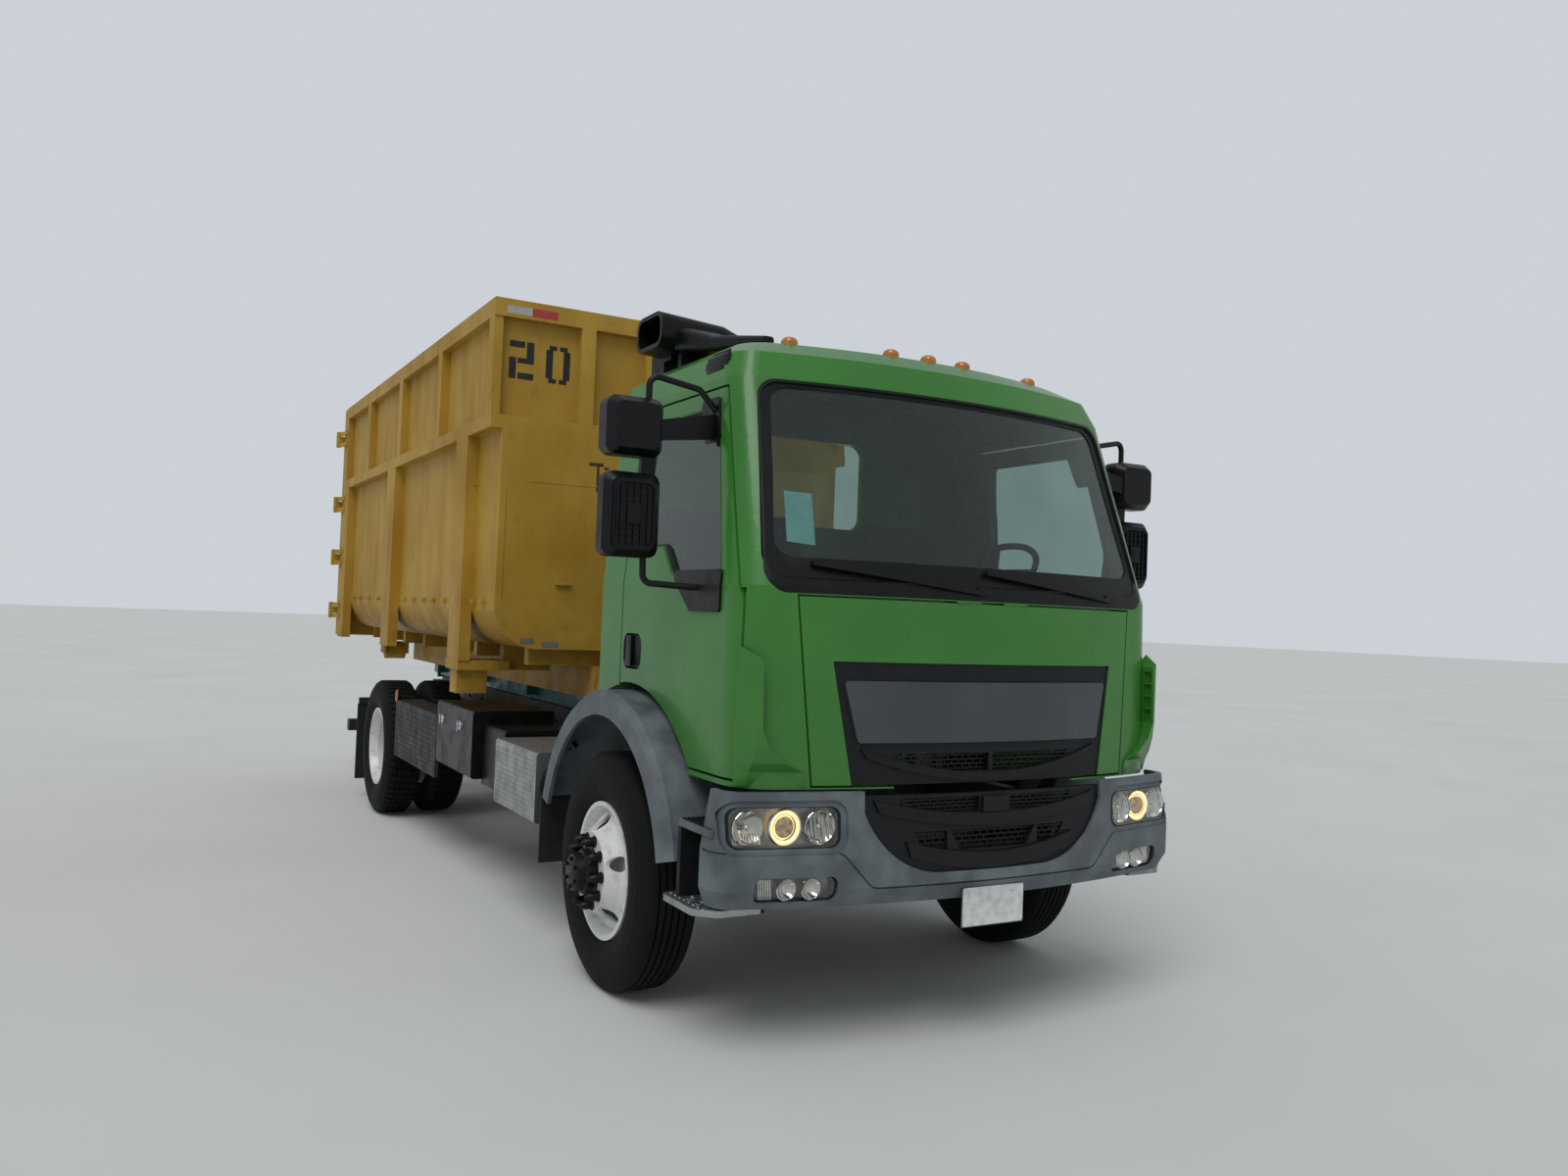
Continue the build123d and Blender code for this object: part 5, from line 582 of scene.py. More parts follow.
def loft_loops(bm, loops, cap_first=False, cap_last=False):
    """Skin closed loops of equal count one after another."""
    rings = [[bm.verts.new(point) for point in loop] for loop in loops]
    for here, there in zip(rings, rings[1:]):
        for i in range(len(here)):
            j = (i + 1) % len(here)
            bm.faces.new((here[i], here[j], there[j], there[i]))
    if cap_first:
        bm.faces.new(rings[0])
    if cap_last:
        bm.faces.new(rings[-1])


def shrunk(loop, share):
    """The loop drawn in towards its middle."""
    middle = sum(loop, Vector((0, 0))) / len(loop)
    return [middle + (point - middle) * share for point in loop]


def stacked(bm, outline, rows, place, cap_last=True):
    """Skin an outline over rows of (share it is drawn in to, level); place gives a point at a level."""
    loops = [[place(point, level) for point in shrunk(outline, share)] for share, level in rows]
    loft_loops(bm, loops, cap_last=cap_last)


def stepped(loop, stride):
    """A closed loop with points added, so that none are farther apart than the stride."""
    out = []
    for start, end in zip(loop, loop[1:] + loop[:1]):
        parts = max(1, math.ceil((end - start).length / stride))
        out += [start.lerp(end, step / parts) for step in range(parts)]
    return out


def rectangle(first, last, low, high):
    """Corners of a rectangle in its own plane."""
    return [(first, low), (last, low), (last, high), (first, high)]


def centred(middle, half, low, high):
    """Corners of a rectangle that reaches as far to both sides of a middle."""
    return rectangle(middle - half, middle + half, low, high)


# The cab's outside form, as sections: height, front face ahead of the axle, half width, corner radius
CAB_SECTIONS = (
    (1.022, 1.218, 1.065, 0.190),
    (1.778, 1.190, 1.065, 0.160),
    (2.618, 0.914, 0.989, 0.125),
    (2.730, 0.858, 0.959, 0.140),
    (2.800, 0.740, 0.850, 0.150),
)
CAB_BOW = 0.158
BUMPER_SECTIONS = (
    (0.590, 1.232, 1.140, 0.100),
    (0.660, 1.262, 1.165, 0.100),
    (0.800, 1.262, 1.165, 0.100),
    (1.018, 1.254, 1.130, 0.100),
)
BUMPER_BOW = 0.160
BUMPER = {"sections": BUMPER_SECTIONS, "bow": BUMPER_BOW}
CAB_HALF = CAB_SECTIONS[0][2]


def skin_x(y, z, sections=CAB_SECTIONS, bow=CAB_BOW, depth=0.0):
    """How far forward the bowed front face lies at a place, a depth under its surface."""
    for low, high in zip(sections, sections[1:]):
        if z <= high[0]:
            break
    share = min(max((z - low[0]) / (high[0] - low[0]), 0), 1)
    front, half, corner = (low[i] + share * (high[i] - low[i]) for i in (1, 2, 3))
    arc = (half * half + bow * bow) / (2 * bow)
    centre_x = front - arc
    turn_y = half - corner
    turn_x = centre_x + math.sqrt((arc - corner) ** 2 - turn_y ** 2)
    seam = turn_y * arc / (arc - corner)
    beside = abs(y)
    if beside <= seam:
        return FA + centre_x + math.sqrt(max((arc - depth) ** 2 - beside ** 2, 0))
    reach = max((corner - depth) ** 2 - (beside - turn_y) ** 2, 0)
    return FA + turn_x + math.sqrt(reach)


def on_skin(points, depth, **form):
    """Front-view (y, z) points carried onto the bowed front."""
    return [Vector((skin_x(y, z, depth=depth, **form), y, z)) for y, z in points]


# Tyres and wheels

def circle_through(first, middle, last, count):
    """Points of the arc through three points of a section."""
    (ax, ay), (bx, by), (cx, cy) = first, middle, last
    turn = 2 * (ax * (by - cy) + bx * (cy - ay) + cx * (ay - by))
    ux = ((ax**2 + ay**2) * (by - cy) + (bx**2 + by**2) * (cy - ay) + (cx**2 + cy**2) * (ay - by)) / turn
    uy = ((ax**2 + ay**2) * (cx - bx) + (bx**2 + by**2) * (ax - cx) + (cx**2 + cy**2) * (bx - ax)) / turn
    start = math.atan2(ay - uy, ax - ux)
    end = math.atan2(cy - uy, cx - ux)
    radius = math.hypot(ax - ux, ay - uy)
    return [
        (ux + radius * math.cos(start + (end - start) * i / count),
         uy + radius * math.sin(start + (end - start) * i / count))
        for i in range(count + 1)
    ]


BEAD = (0.104, 0.2995)
WIDEST = (0.139, 0.405)
SHOULDER = (0.112, 0.502)
CROWN_HALF = 0.090
GROOVE_DEPTH = 0.013
GROOVE_TAPER = 0.0015
SLOT_DEPTH = GROOVE_DEPTH * 0.8
CROWN_DROP = 0.0012
WIDE_SLOT = 0.15
SLOT_SLANT = 0.02
WALL_STEPS = 26
WALL_RINGS = (3, 4, 18, 19, 22)
WALL_RING_RISE = 0.0022


def wall_points():
    """Half of a tyre's side, bead to shoulder, with its raised rings."""
    points = []
    for i, (y, r) in enumerate(circle_through(BEAD, WIDEST, SHOULDER, WALL_STEPS)):
        ring = WALL_RING_RISE if i in WALL_RINGS else 0.0
        points.append((y + ring, r))
    return points


def tread_stations(grooves, width):
    """Places across the tread where a groove's walls start and end, each with 1 if it is sunk."""
    stations = [(-CROWN_HALF, 0)]
    for centre in grooves:
        stations += [
            (centre - width / 2, 0), (centre - width / 2 + GROOVE_TAPER, 1),
            (centre + width / 2 - GROOVE_TAPER, 1), (centre + width / 2, 0),
        ]
    return stations + [(CROWN_HALF, 0)]


def tyre(bm, x, y, grooves, width, pitches, lateral):
    """One tyre: smooth walls, grooved tread, and where lateral is set cross slots at each pitch."""
    wall = wall_points()
    section = [(-half, radius, 0, 0) for half, radius in wall]
    for place, sunk in tread_stations(grooves, width):
        section.append((place, TYRE_R - CROWN_DROP * (place / CROWN_HALF) ** 2, sunk, 1))
    section += [(half, radius, 0, 0) for half, radius in reversed(wall)]
    # Shares of a pitch where a cross slot opens, ends and rises again
    shares = (0.0, lateral, lateral + 0.06, 0.94) if lateral else (0.0,)
    slot_reach = max(grooves) - width
    rings = []
    for pitch in range(pitches):
        for index, share in enumerate(shares):
            angle = 2 * math.pi * (pitch + share) / pitches
            in_slot = bool(lateral) and index < 2
            ring = []
            for place, radius, sunk, is_tread in section:
                if is_tread and sunk:
                    radius -= GROOVE_DEPTH
                elif is_tread and in_slot and (lateral > WIDE_SLOT or abs(place) > slot_reach):
                    radius -= SLOT_DEPTH
                here = angle + (SLOT_SLANT * place / CROWN_HALF if lateral else 0.0)
                ring.append(bm.verts.new(
                    (x + radius * math.sin(here), y + place, AXLE_Z + radius * math.cos(here))))
            rings.append(ring)
    for here, there in zip(rings, rings[1:] + rings[:1]):
        for i in range(len(section) - 1):
            bm.faces.new((here[i], here[i + 1], there[i + 1], there[i]))


FRONT_GROOVES = (-0.062, -0.031, 0.0, 0.031, 0.062)
REAR_GROOVES = (-0.054, -0.018, 0.018, 0.054)
for side, hand in SIDES:
    low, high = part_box(f"tyre_front_{hand}")
    bm = bmesh.new()
    tyre(bm, FA, (low[1] + high[1]) / 2, FRONT_GROOVES, width=0.010, pitches=72, lateral=0.0)
    piece_from(bm, f"steer_tyre_{hand}", f"front_wheel_{hand}", "tyre_rubber", covers=[f"tyre_front_{hand}"])
    low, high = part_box(f"tyres_rear_{hand}")
    bm = bmesh.new()
    for middle in (low[1] + WIDEST[0], high[1] - WIDEST[0]):
        tyre(bm, RA, middle, REAR_GROOVES, width=0.009, pitches=56, lateral=0.22)
    piece_from(bm, f"drive_tyres_{hand}", f"rear_wheels_{hand}", "tyre_rubber", covers=[f"tyres_rear_{hand}"])


# Wheel nuts and hubs
STUD_RING = 0.1425
STUDS = 10
DISC_OUT = 0.168
FRONT_WHEEL_Y = 1.048
REAR_WHEEL_Y = 1.100


def circle_spots(x, y, radius, count, offset=0.0):
    """Places on a circle about a wheel's axle."""
    for step in range(count):
        angle = 2 * math.pi * (step + offset) / count
        yield Vector((x + radius * math.sin(angle), y, AXLE_Z + radius * math.cos(angle)))


def nut_covers(bm, x, face_y, side, length, radius):
    """A ring of wheel nuts under tall pointed covers."""
    profile = (
        (0, 0), (0, radius * 1.25), (0.006, radius * 1.25), (0.010, radius), (length * 0.6, radius * 0.92),
        (length * 0.82, radius * 0.62), (length, radius * 0.18), (length, 0),
    )
    for centre in circle_spots(x, face_y, STUD_RING, STUDS, 0.5):
        turned(bm, profile, centre, (0, side, 0), 12)


def hub(bm, x, face_y, side, profile, bolts, bolt_ring, bolt_out):
    """A hub cap turned about the axle, with a ring of bolt heads on its face."""
    turned(bm, profile, (x, face_y, AXLE_Z), (0, side, 0), 40)
    for spot in circle_spots(x, face_y + side * bolt_out, bolt_ring, bolts):
        rod(bm, spot, spot + Vector((0, side * 0.012, 0)), 0.009, sides=6)


FRONT_CAP = (
    (-0.004, 0.0), (-0.004, 0.112), (0.008, 0.112), (0.012, 0.1), (0.04, 0.094), (0.048, 0.084),
    (0.080, 0.078), (0.088, 0.066), (0.090, 0.0),
)
REAR_CAP = ((0.0, 0.098), (0.188, 0.098), (0.192, 0.09), (0.2, 0.086), (0.204, 0.0))
for side, hand in SIDES:
    bm = bmesh.new()
    face = side * (FRONT_WHEEL_Y + DISC_OUT)
    nut_covers(bm, FA, face, side, length=0.062, radius=0.0205)
    hub(bm, FA, face, side, FRONT_CAP, bolts=6, bolt_ring=0.06, bolt_out=0.086)
    piece_from(bm, f"front_hub_{hand}", f"front_wheel_{hand}", "black_plastic")
    bm = bmesh.new()
    face = side * (REAR_WHEEL_Y - DISC_OUT)
    nut_covers(bm, RA, face, side, length=0.036, radius=0.0165)
    hub(bm, RA, face, side, REAR_CAP, bolts=8, bolt_ring=0.066, bolt_out=0.202)
    piece_from(bm, f"rear_hub_{hand}", f"rear_wheels_{hand}", "axle_paint")


# Tools that use the CAD nodes' own faces, met by rays that start outside the truck
BESIDE = 1.5
ABOVE = 3.2


def meets(origin, direction, *nodes):
    """Where a ray first meets one of the named CAD nodes."""
    spots = []
    for name in nodes:
        node = frame["nodes"][name]
        back = node.matrix_world.inverted()
        heading = (back.to_3x3() @ Vector(direction)).normalized()
        hit, spot, _, _ = node.ray_cast(back @ Vector(origin), heading)
        if hit:
            spots.append(node.matrix_world @ spot)
    if not spots:
        raise ValueError(f"no face of {nodes} from {tuple(origin)}")
    return min(spots, key=lambda spot: (spot - Vector(origin)).length)


def laid(bm, points, direction, lift, *nodes):
    """A face through points that are dropped onto CAD nodes along a direction."""
    toward = Vector(direction).normalized()
    spots = [meets(point, toward, *nodes) - toward * lift for point in points]
    bm.faces.new([bm.verts.new(spot) for spot in spots])


def square(x, y0, y1, z0, z1):
    """Corners of an upright rectangle across the truck."""
    return [(x, y0, z0), (x, y1, z0), (x, y1, z1), (x, y0, z1)]


def bolt(bm, at, axis, radius, height):
    """A hexagon head on a washer."""
    out = Vector(axis).normalized()
    foot = Vector(at)
    rod(bm, foot - out * 0.001, foot + out * 0.003, radius * 1.35, sides=16)
    rod(bm, foot + out * 0.003, foot + out * height, radius, sides=6)


def bead(bm, points, radius):
    """A weld bead: a rough low rod along a run of points."""
    for start, end in zip(points, points[1:]):
        run = Vector(end) - Vector(start)
        count = max(int(run.length / 0.011), 1)
        for step in range(count):
            size = radius * (0.82 + 0.36 * random.random())
            spot = Vector(start) + run * ((step + 0.5) / count)
            place = Matrix.Translation(spot) @ Matrix.Diagonal((size, size, size, 1))
            bmesh.ops.create_icosphere(bm, subdivisions=1, radius=1, matrix=place)


# Lamps

def bowl(bm, centre, radius, depth):
    """A reflector: a parabola turned about X, mouth forward, with a rolled rim."""
    steps = 9
    profile = [(depth * (i / steps) ** 2 - depth, radius * i / steps) for i in range(steps + 1)]
    turned(bm, profile + [(0.003, radius + 0.002), (0.0, radius + 0.005)], centre, (1, 0, 0), 32)


def lamp_loop(side, lamp):
    """Rounded front-view outline of a lamp's opening."""
    inner, outer, bottom, top, radius = lamp
    return rounded(rectangle(side * inner, side * outer, bottom, top), radius, 6)


def ring_on_skin(loop, share, depth):
    """A loop drawn in and carried onto the bumper's face at a depth under it."""
    return on_skin(shrunk(loop, share), depth, **BUMPER)


# Lamp openings: inner and outer end, bottom, top, corner radius
HEADLAMP = (0.690, 1.118, 0.812, 0.964, 0.040)
FOGLAMP = (0.700, 1.018, 0.616, 0.708, 0.030)
HEADLAMP_Z = (HEADLAMP[2] + HEADLAMP[3]) / 2
FOGLAMP_Z = (FOGLAMP[2] + FOGLAMP[3]) / 2
INNER_BOWL_Y = 0.765
OUTER_BOWL_Y = 1.038
LENS_DEPTH = 0.0115
LENS_T = 0.003
PROJECTOR_Y = 0.900
for side, hand in SIDES:
    lens, housing, mirrors, bezel = (bmesh.new() for _ in range(4))
    for lamp in (HEADLAMP, FOGLAMP):
        loop = lamp_loop(side, lamp)
        outside = [ring_on_skin(loop, share, LENS_DEPTH) for share in (0.12, 0.4, 0.7, 0.955)]
        inside = [ring_on_skin(loop, share, LENS_DEPTH + LENS_T) for share in (0.955, 0.7, 0.4, 0.12)]
        loft_loops(lens, outside + inside, cap_first=True, cap_last=True)
        frame_rows = ((0.997, 0.050), (0.997, 0.011), (0.960, 0.0095), (0.950, 0.013), (0.950, 0.018))
        loft_loops(bezel, [ring_on_skin(loop, share, depth) for share, depth in frame_rows])
        tray = [ring_on_skin(loop, share, depth) for share, depth in ((0.953, 0.016), (0.93, 0.056))]
        loft_loops(housing, tray, cap_last=True)
    z = HEADLAMP_Z
    for y, radius in ((INNER_BOWL_Y, 0.062), (OUTER_BOWL_Y, 0.060)):
        x = skin_x(y, z, **BUMPER) - 0.024
        bowl(mirrors, (x, side * y, z), radius, 0.030)
        place = Matrix.Translation((x - 0.012, side * y, z)) @ Matrix.Diagonal((0.011, 0.011, 0.011, 1))
        bmesh.ops.create_icosphere(mirrors, subdivisions=2, radius=1, matrix=place)
    # Upright flutes of the inner reflector, and fine ones under the outer one
    for step in range(-3, 4):
        y = INNER_BOWL_Y + step * 0.015
        reach = 0.052 - abs(step) * 0.008
        x = skin_x(y, z, **BUMPER) - 0.034
        points = [(x + 0.002 * abs(k), side * (y + 0.002 * k), z + reach * k / 3) for k in range(-3, 4)]
        for start, end in zip(points, points[1:]):
            rod(mirrors, start, end, 0.0042, sides=8)
    for step in range(-5, 6):
        y = OUTER_BOWL_Y + step * 0.0095
        x = skin_x(y, z, **BUMPER) - 0.030
        rod(mirrors, (x, side * y, z - 0.062), (x - 0.012, side * y, z - 0.022), 0.0036, sides=8)
    z = FOGLAMP_Z
    for y in (0.795, 0.890):
        bowl(mirrors, (skin_x(y, z, **BUMPER) - 0.022, side * y, z), 0.037, 0.026)
    for step in range(6):
        y = 0.945 + step * 0.009
        x = skin_x(y, z, **BUMPER) - 0.028
        rod(mirrors, (x, side * y, z - 0.034), (x - 0.01, side * y, z + 0.034), 0.0038, sides=8)
    piece_from(lens, f"lamp_lens_{hand}", "chassis", "lamp_glass", covers=["front_lamps"])
    piece_from(bezel, f"lamp_bezel_{hand}", "chassis", "grille_plastic")
    piece_from(housing, f"lamp_housing_{hand}", "chassis", "lamp_glass", LAMP_TRAY)
    piece_from(mirrors, f"lamp_reflectors_{hand}", "chassis", "lamp_glass", REFLECTOR)
    x = skin_x(PROJECTOR_Y, HEADLAMP_Z, **BUMPER) - 0.030
    centre = (x, side * PROJECTOR_Y, HEADLAMP_Z)
    bm = bmesh.new()
    turned(bm, ((-0.018, 0.030), (-0.004, 0.044), (0.004, 0.060), (0.004, 0.064)), centre, (1, 0, 0), 40)
    piece_from(bm, f"projector_glow_{hand}", "chassis", "lamp_glass", GLOW)
    bm = bmesh.new()
    rim = ((0.0, 0.062), (0.007, 0.0635), (0.009, 0.067), (0.004, 0.070), (-0.006, 0.070))
    turned(bm, rim, centre, (1, 0, 0), 40)
    turned(bm, ((-0.004, 0.045), (0.002, 0.047), (0.002, 0.049), (-0.004, 0.051)), centre, (1, 0, 0), 40)
    piece_from(bm, f"projector_rim_{hand}", "chassis", "lamp_glass", REFLECTOR)
    bm = bmesh.new()
    angles = [step * math.pi / 16 for step in range(9)]
    dome = [(0.012 * math.cos(angle), 0.040 * math.sin(angle)) for angle in angles]
    turned(bm, dome, centre, (1, 0, 0), 32)
    piece_from(bm, f"projector_eye_{hand}", "chassis", "lamp_glass", EYE)


# Grille meshes: short uprights between the CAD bars, staggered like bricks

def mesh_uprights(bm, slots, mesh_x):
    """Uprights between a slot's level bars; a slot is inner end, outer end, bottom, top."""
    pitch, half, rows, lean = 0.036, 0.0025, 4, 0.046
    for inner, outer, low, high in slots:
        step = (high - low) / rows
        for row in range(rows + 1):
            bottom = low + (row - 0.5) * step + 0.003 if row else low
            top = low + (row + 0.5) * step - 0.003 if row < rows else high
            edge = outer - lean * (high - (bottom + top) / 2) / (high - low)
            y = pitch * (math.ceil(inner / pitch) + 0.5 * (row % 2))
            while y < edge - 0.006:
                for side in (1, -1):
                    block(bm, (mesh_x, side * y - half, bottom), (mesh_x + 0.006, side * y + half, top))
                y += pitch


bm = bmesh.new()
mesh_uprights(bm, ((0.010, 0.430, 1.082, 1.152),), FA + 1.181)
piece_from(bm, "upper_mesh_uprights", "front_flap", "grille_plastic")
bm = bmesh.new()
lower_slots = ((0.078, 0.425, 0.928, 0.986), (0.0, 0.214, 0.782, 0.858), (0.228, 0.380, 0.782, 0.858))
mesh_uprights(bm, lower_slots, FA + 1.219)
piece_from(bm, "lower_mesh_uprights", "chassis", "grille_plastic")


# Screen edge: the black printed band round the glass, wide at the foot, and its rubber seal
SCREEN_HALF = 0.985
SCREEN_TOP_HALF = 0.908
SCREEN_FOOT = 1.752
SCREEN_TOP = 2.612
SCREEN_MIDDLE = 2.220
SCREEN_CORNERS = (
    (-SCREEN_HALF, SCREEN_FOOT), (SCREEN_HALF, SCREEN_FOOT),
    (SCREEN_TOP_HALF, SCREEN_TOP), (-SCREEN_TOP_HALF, SCREEN_TOP),
)
bm = bmesh.new()
edge_loop = stepped(rounded(SCREEN_CORNERS, 0.085, 10), 0.05)
bands = []
# Rows: drawn in at the sides, at the top, at the foot, depth under the skin
for beside, above, below, depth in (
    (0.000, 0.000, 0.000, 0.0060), (0.003, 0.003, 0.003, -0.0010), (0.006, 0.006, 0.018, -0.0010),
    (0.009, 0.009, 0.026, -0.0010), (0.012, 0.012, 0.041, -0.0010), (0.014, 0.014, 0.056, -0.0010),
    (0.018, 0.018, 0.062, 0.0085), (0.060, 0.034, 0.139, 0.0112),
):
    loop = []
    for point in edge_loop:
        y = point.x * (1 - beside / SCREEN_HALF)
        upper = point.y > SCREEN_MIDDLE
        reach = SCREEN_TOP - SCREEN_MIDDLE if upper else SCREEN_MIDDLE - SCREEN_FOOT
        draw = above if upper else below
        z = SCREEN_MIDDLE + (point.y - SCREEN_MIDDLE) * (1 - draw / reach)
        loop.append((y, z))
    bands.append(on_skin(loop, depth))
loft_loops(bm, bands)
piece_from(bm, "screen_surround", "cab", "black_plastic")


# Cab: roof corner vents, aerial, door handles, mirror panes
VENT_X = FA + 0.56
VENT_Z = 2.700
VENT_PITCH = 0.018
VENT_HALF = 0.105
for side, hand in SIDES:
    bm = bmesh.new()
    for row in range(-2, 3):
        z = VENT_Z + row * VENT_PITCH
        half = VENT_HALF * math.sqrt(1 - (row / 2.9) ** 2)
        y = meets((VENT_X, side * BESIDE, z), (0, -side, 0), "cab_shell").y
        block(bm, (VENT_X - half, y - 0.004, z - 0.0075), (VENT_X + half, y + 0.004, z + 0.0075), 0.002)
    piece_from(bm, f"roof_vent_{hand}", "cab", "black_plastic")

bm = bmesh.new()
foot = meets((FA + 0.10, -0.62, ABOVE), (0, 0, -1), "cab_shell")
mast = ((0.0, 0.0), (0.0, 0.022), (0.012, 0.020), (0.020, 0.008), (0.12, 0.005), (0.125, 0.0))
turned(bm, mast, foot, (0, 0, 1), 20)
piece_from(bm, "roof_aerial", "cab", "black_plastic")

HANDLE_AT = (FA + 0.008, 1.484)
HANDLE_RECESS = 0.0155
for side, hand in SIDES:
    # Liner of the recess, the upright grip in front of it and the lock
    bm = bmesh.new()
    x, z = HANDLE_AT
    y = side * (CAB_HALF - HANDLE_RECESS)
    outline = rounded(centred(x, 0.099, z - 0.078, z + 0.078), 0.047, 7)
    rows = ((1.0, 0.0145), (0.985, 0.0165), (0.93, 0.003), (0.90, 0.001))
    stacked(bm, outline, rows, lambda point, out: Vector((point.x, y + side * out, point.y)))
    low, high = sorted((y - side * 0.002, y + side * 0.0165))
    block(bm, (x - 0.074, low, z - 0.066), (x - 0.018, high, z + 0.066), 0.004)
    lock = ((0.0, 0.011), (0.004, 0.011), (0.005, 0.009), (0.005, 0.0))
    turned(bm, lock, (x + 0.055, y + side * 0.001, z + 0.01), (0, side, 0), 20)
    piece_from(bm, f"handle_set_{hand}", f"door_{hand}", "black_plastic")

MIRROR_Y = 1.345
PANE_HALF = 0.078
PANE_SPANS = ((2.295, 2.475), (1.885, 2.175))
for side, hand in SIDES:
    # Panes of both heads, which look back
    bm = bmesh.new()
    for low, high in PANE_SPANS:
        back = meets((FA - 0.4, side * MIRROR_Y, (low + high) / 2), (1, 0, 0), f"mirrors_{hand}")
        outline = rounded(centred(side * MIRROR_Y, PANE_HALF, low, high), 0.030, 6)
        bm.faces.new([bm.verts.new((back.x - 0.0008, point.x, point.y)) for point in outline])
    piece_from(bm, f"mirror_panes_{hand}", f"door_{hand}", "black_plastic", MIRROR)


# Container: numbers, tape, bare primer, scrapes, beads and small fittings
DIGIT_W = 0.150
DIGIT_H = 0.225
MARK_LIFT = 0.0012
AHEAD = FA - 1.80
BOX_NODES = ("container_walls", "container_frame", "container_posts")
NUMBER_Z = 3.012
TAPE_FOOT = 3.380
TAPE_TOP = 3.428


def stencil(bm, y, z, strokes):
    """A stencilled figure from rectangles given as shares of its width and height."""
    for y0, y1, z0, z1 in strokes:
        corners = square(AHEAD, y + y0 * DIGIT_W, y + y1 * DIGIT_W, z + z0 * DIGIT_H, z + z1 * DIGIT_H)
        laid(bm, corners, (-1, 0, 0), MARK_LIFT, "container_walls")


TWO = ((0.0, 0.62, 0.83, 1.0), (0.70, 1.0, 0.56, 1.0), (0.34, 1.0, 0.42, 0.56),
       (0.0, 0.28, 0.0, 0.56), (0.36, 1.0, 0.0, 0.17))
ZERO = ((0.0, 0.28, 0.12, 0.88), (0.72, 1.0, 0.12, 0.88), (0.12, 0.44, 0.88, 1.0), (0.56, 0.88, 0.88, 1.0),
        (0.12, 0.44, 0.0, 0.12), (0.56, 0.88, 0.0, 0.12))
bm = bmesh.new()
stencil(bm, -1.110, NUMBER_Z, TWO)
stencil(bm, -0.885, NUMBER_Z, ZERO)
piece_from(bm, "stencil_number", "container", "container_paint", STENCIL)

for name, spans, finish in (
    ("white_tape_piece", ((-1.150, -0.999, TAPE_FOOT, TAPE_TOP),), WHITE_TAPE),
    ("red_tape_piece", ((-0.997, -0.841, TAPE_FOOT, TAPE_TOP),), RED_TAPE),
    ("primer_patches", ((-0.985, -0.905, 1.442, 1.474), (-0.855, -0.752, 1.424, 1.456)), PRIMER),
    ("scrape_marks", ((-0.606, -0.515, 2.532, 2.552), (-0.556, -0.541, 2.375, 2.532),
                      (-0.510, -0.480, 2.515, 2.530), (-0.545, -0.535, 2.300, 2.360)), SCRAPE),
):
    bm = bmesh.new()
    for y0, y1, z0, z1 in spans:
        laid(bm, square(AHEAD, y0, y1, z0, z1), (-1, 0, 0), MARK_LIFT, *BOX_NODES, "container_floor")
    piece_from(bm, name, "container", "container_paint", finish)

# Beads down the front corner's seam and along the belt
random.seed(7)
BEAD_R = 0.005
SEAM_Y = -1.110
BELT_Z = 2.405
BELT_REACH = 1.170
bm = bmesh.new()
corner_seam = [meets((AHEAD, SEAM_Y, z), (-1, 0, 0), *BOX_NODES) for z in (2.36, 2.1, 1.9, 1.7)]
bead(bm, corner_seam, BEAD_R)
belt_seam = [
    meets((AHEAD, -BELT_REACH + BELT_REACH * i / 6, BELT_Z), (-1, 0, 0), *BOX_NODES) for i in range(13)]
bead(bm, belt_seam, BEAD_R)
piece_from(bm, "weld_beads", "container", "container_paint")

# Small lugs over the fold of the side walls, and a bracket on the front wall
FOLD = 1.630
LUG_XS = (-2.12, -2.32, -2.86, -3.06, -3.36, -3.66, -3.98, -4.28, -5.0, -5.3, -5.7, -6.1, -6.4)
WALL_REACH = 1.19
bm = bmesh.new()
spot = meets((AHEAD, -0.745, 1.805), (-1, 0, 0), *BOX_NODES)
block(bm, (spot.x - 0.002, -0.79, 1.797), (spot.x + 0.022, -0.692, 1.811), 0.002)
for lug_x in LUG_XS:
    for side in (1, -1):
        x = FA + lug_x
        start = (x, side * BESIDE, FOLD + 0.055)
        wall = meets(start, (0, -side, 0), "container_walls", "container_posts")
        if abs(wall.y) < WALL_REACH:
            y = wall.y + side * 0.012
            block(bm, (x - 0.022, y - 0.016, FOLD + 0.038), (x + 0.022, y + 0.016, FOLD + 0.066), 0.003)
piece_from(bm, "fold_lugs", "container", "container_paint")


# Cab inside: seats

def cushion(low, high, crown, lean):
    """A crowned pad whose sides pull in between its corners, with two sewn channels along it."""
    bm = bmesh.new()
    bmesh.ops.create_cube(bm, size=1)
    bmesh.ops.subdivide_edges(bm, edges=bm.edges[:], cuts=11, use_grid_fill=True)
    size = Vector(high) - Vector(low)
    middle = (Vector(high) + Vector(low)) / 2
    thin = min(range(3), key=lambda i: size[i])
    wide = [i for i in range(3) if i != thin]
    for vert in bm.verts:
        unit = vert.co * 2
        fall = (1 - unit[wide[0]] ** 2) * (1 - unit[wide[1]] ** 2)
        new = vert.co.copy()
        new[thin] *= 0.62 + crown * fall ** 0.5
        for i, j in (wide, wide[::-1]):
            new[i] *= 1 - 0.05 * (1 - unit[j] ** 2) - 0.04 * unit[thin] ** 2
        across = unit[wide[1]]
        groove = min(abs(abs(across) - 0.45) / 0.09, 1)
        new[thin] *= 0.9 + 0.1 * groove
        vert.co = Vector(new[i] * size[i] for i in range(3))
    turn = Matrix.Rotation(lean, 4, "Y")
    bmesh.ops.transform(bm, matrix=Matrix.Translation(middle) @ turn, verts=bm.verts)
    return bm


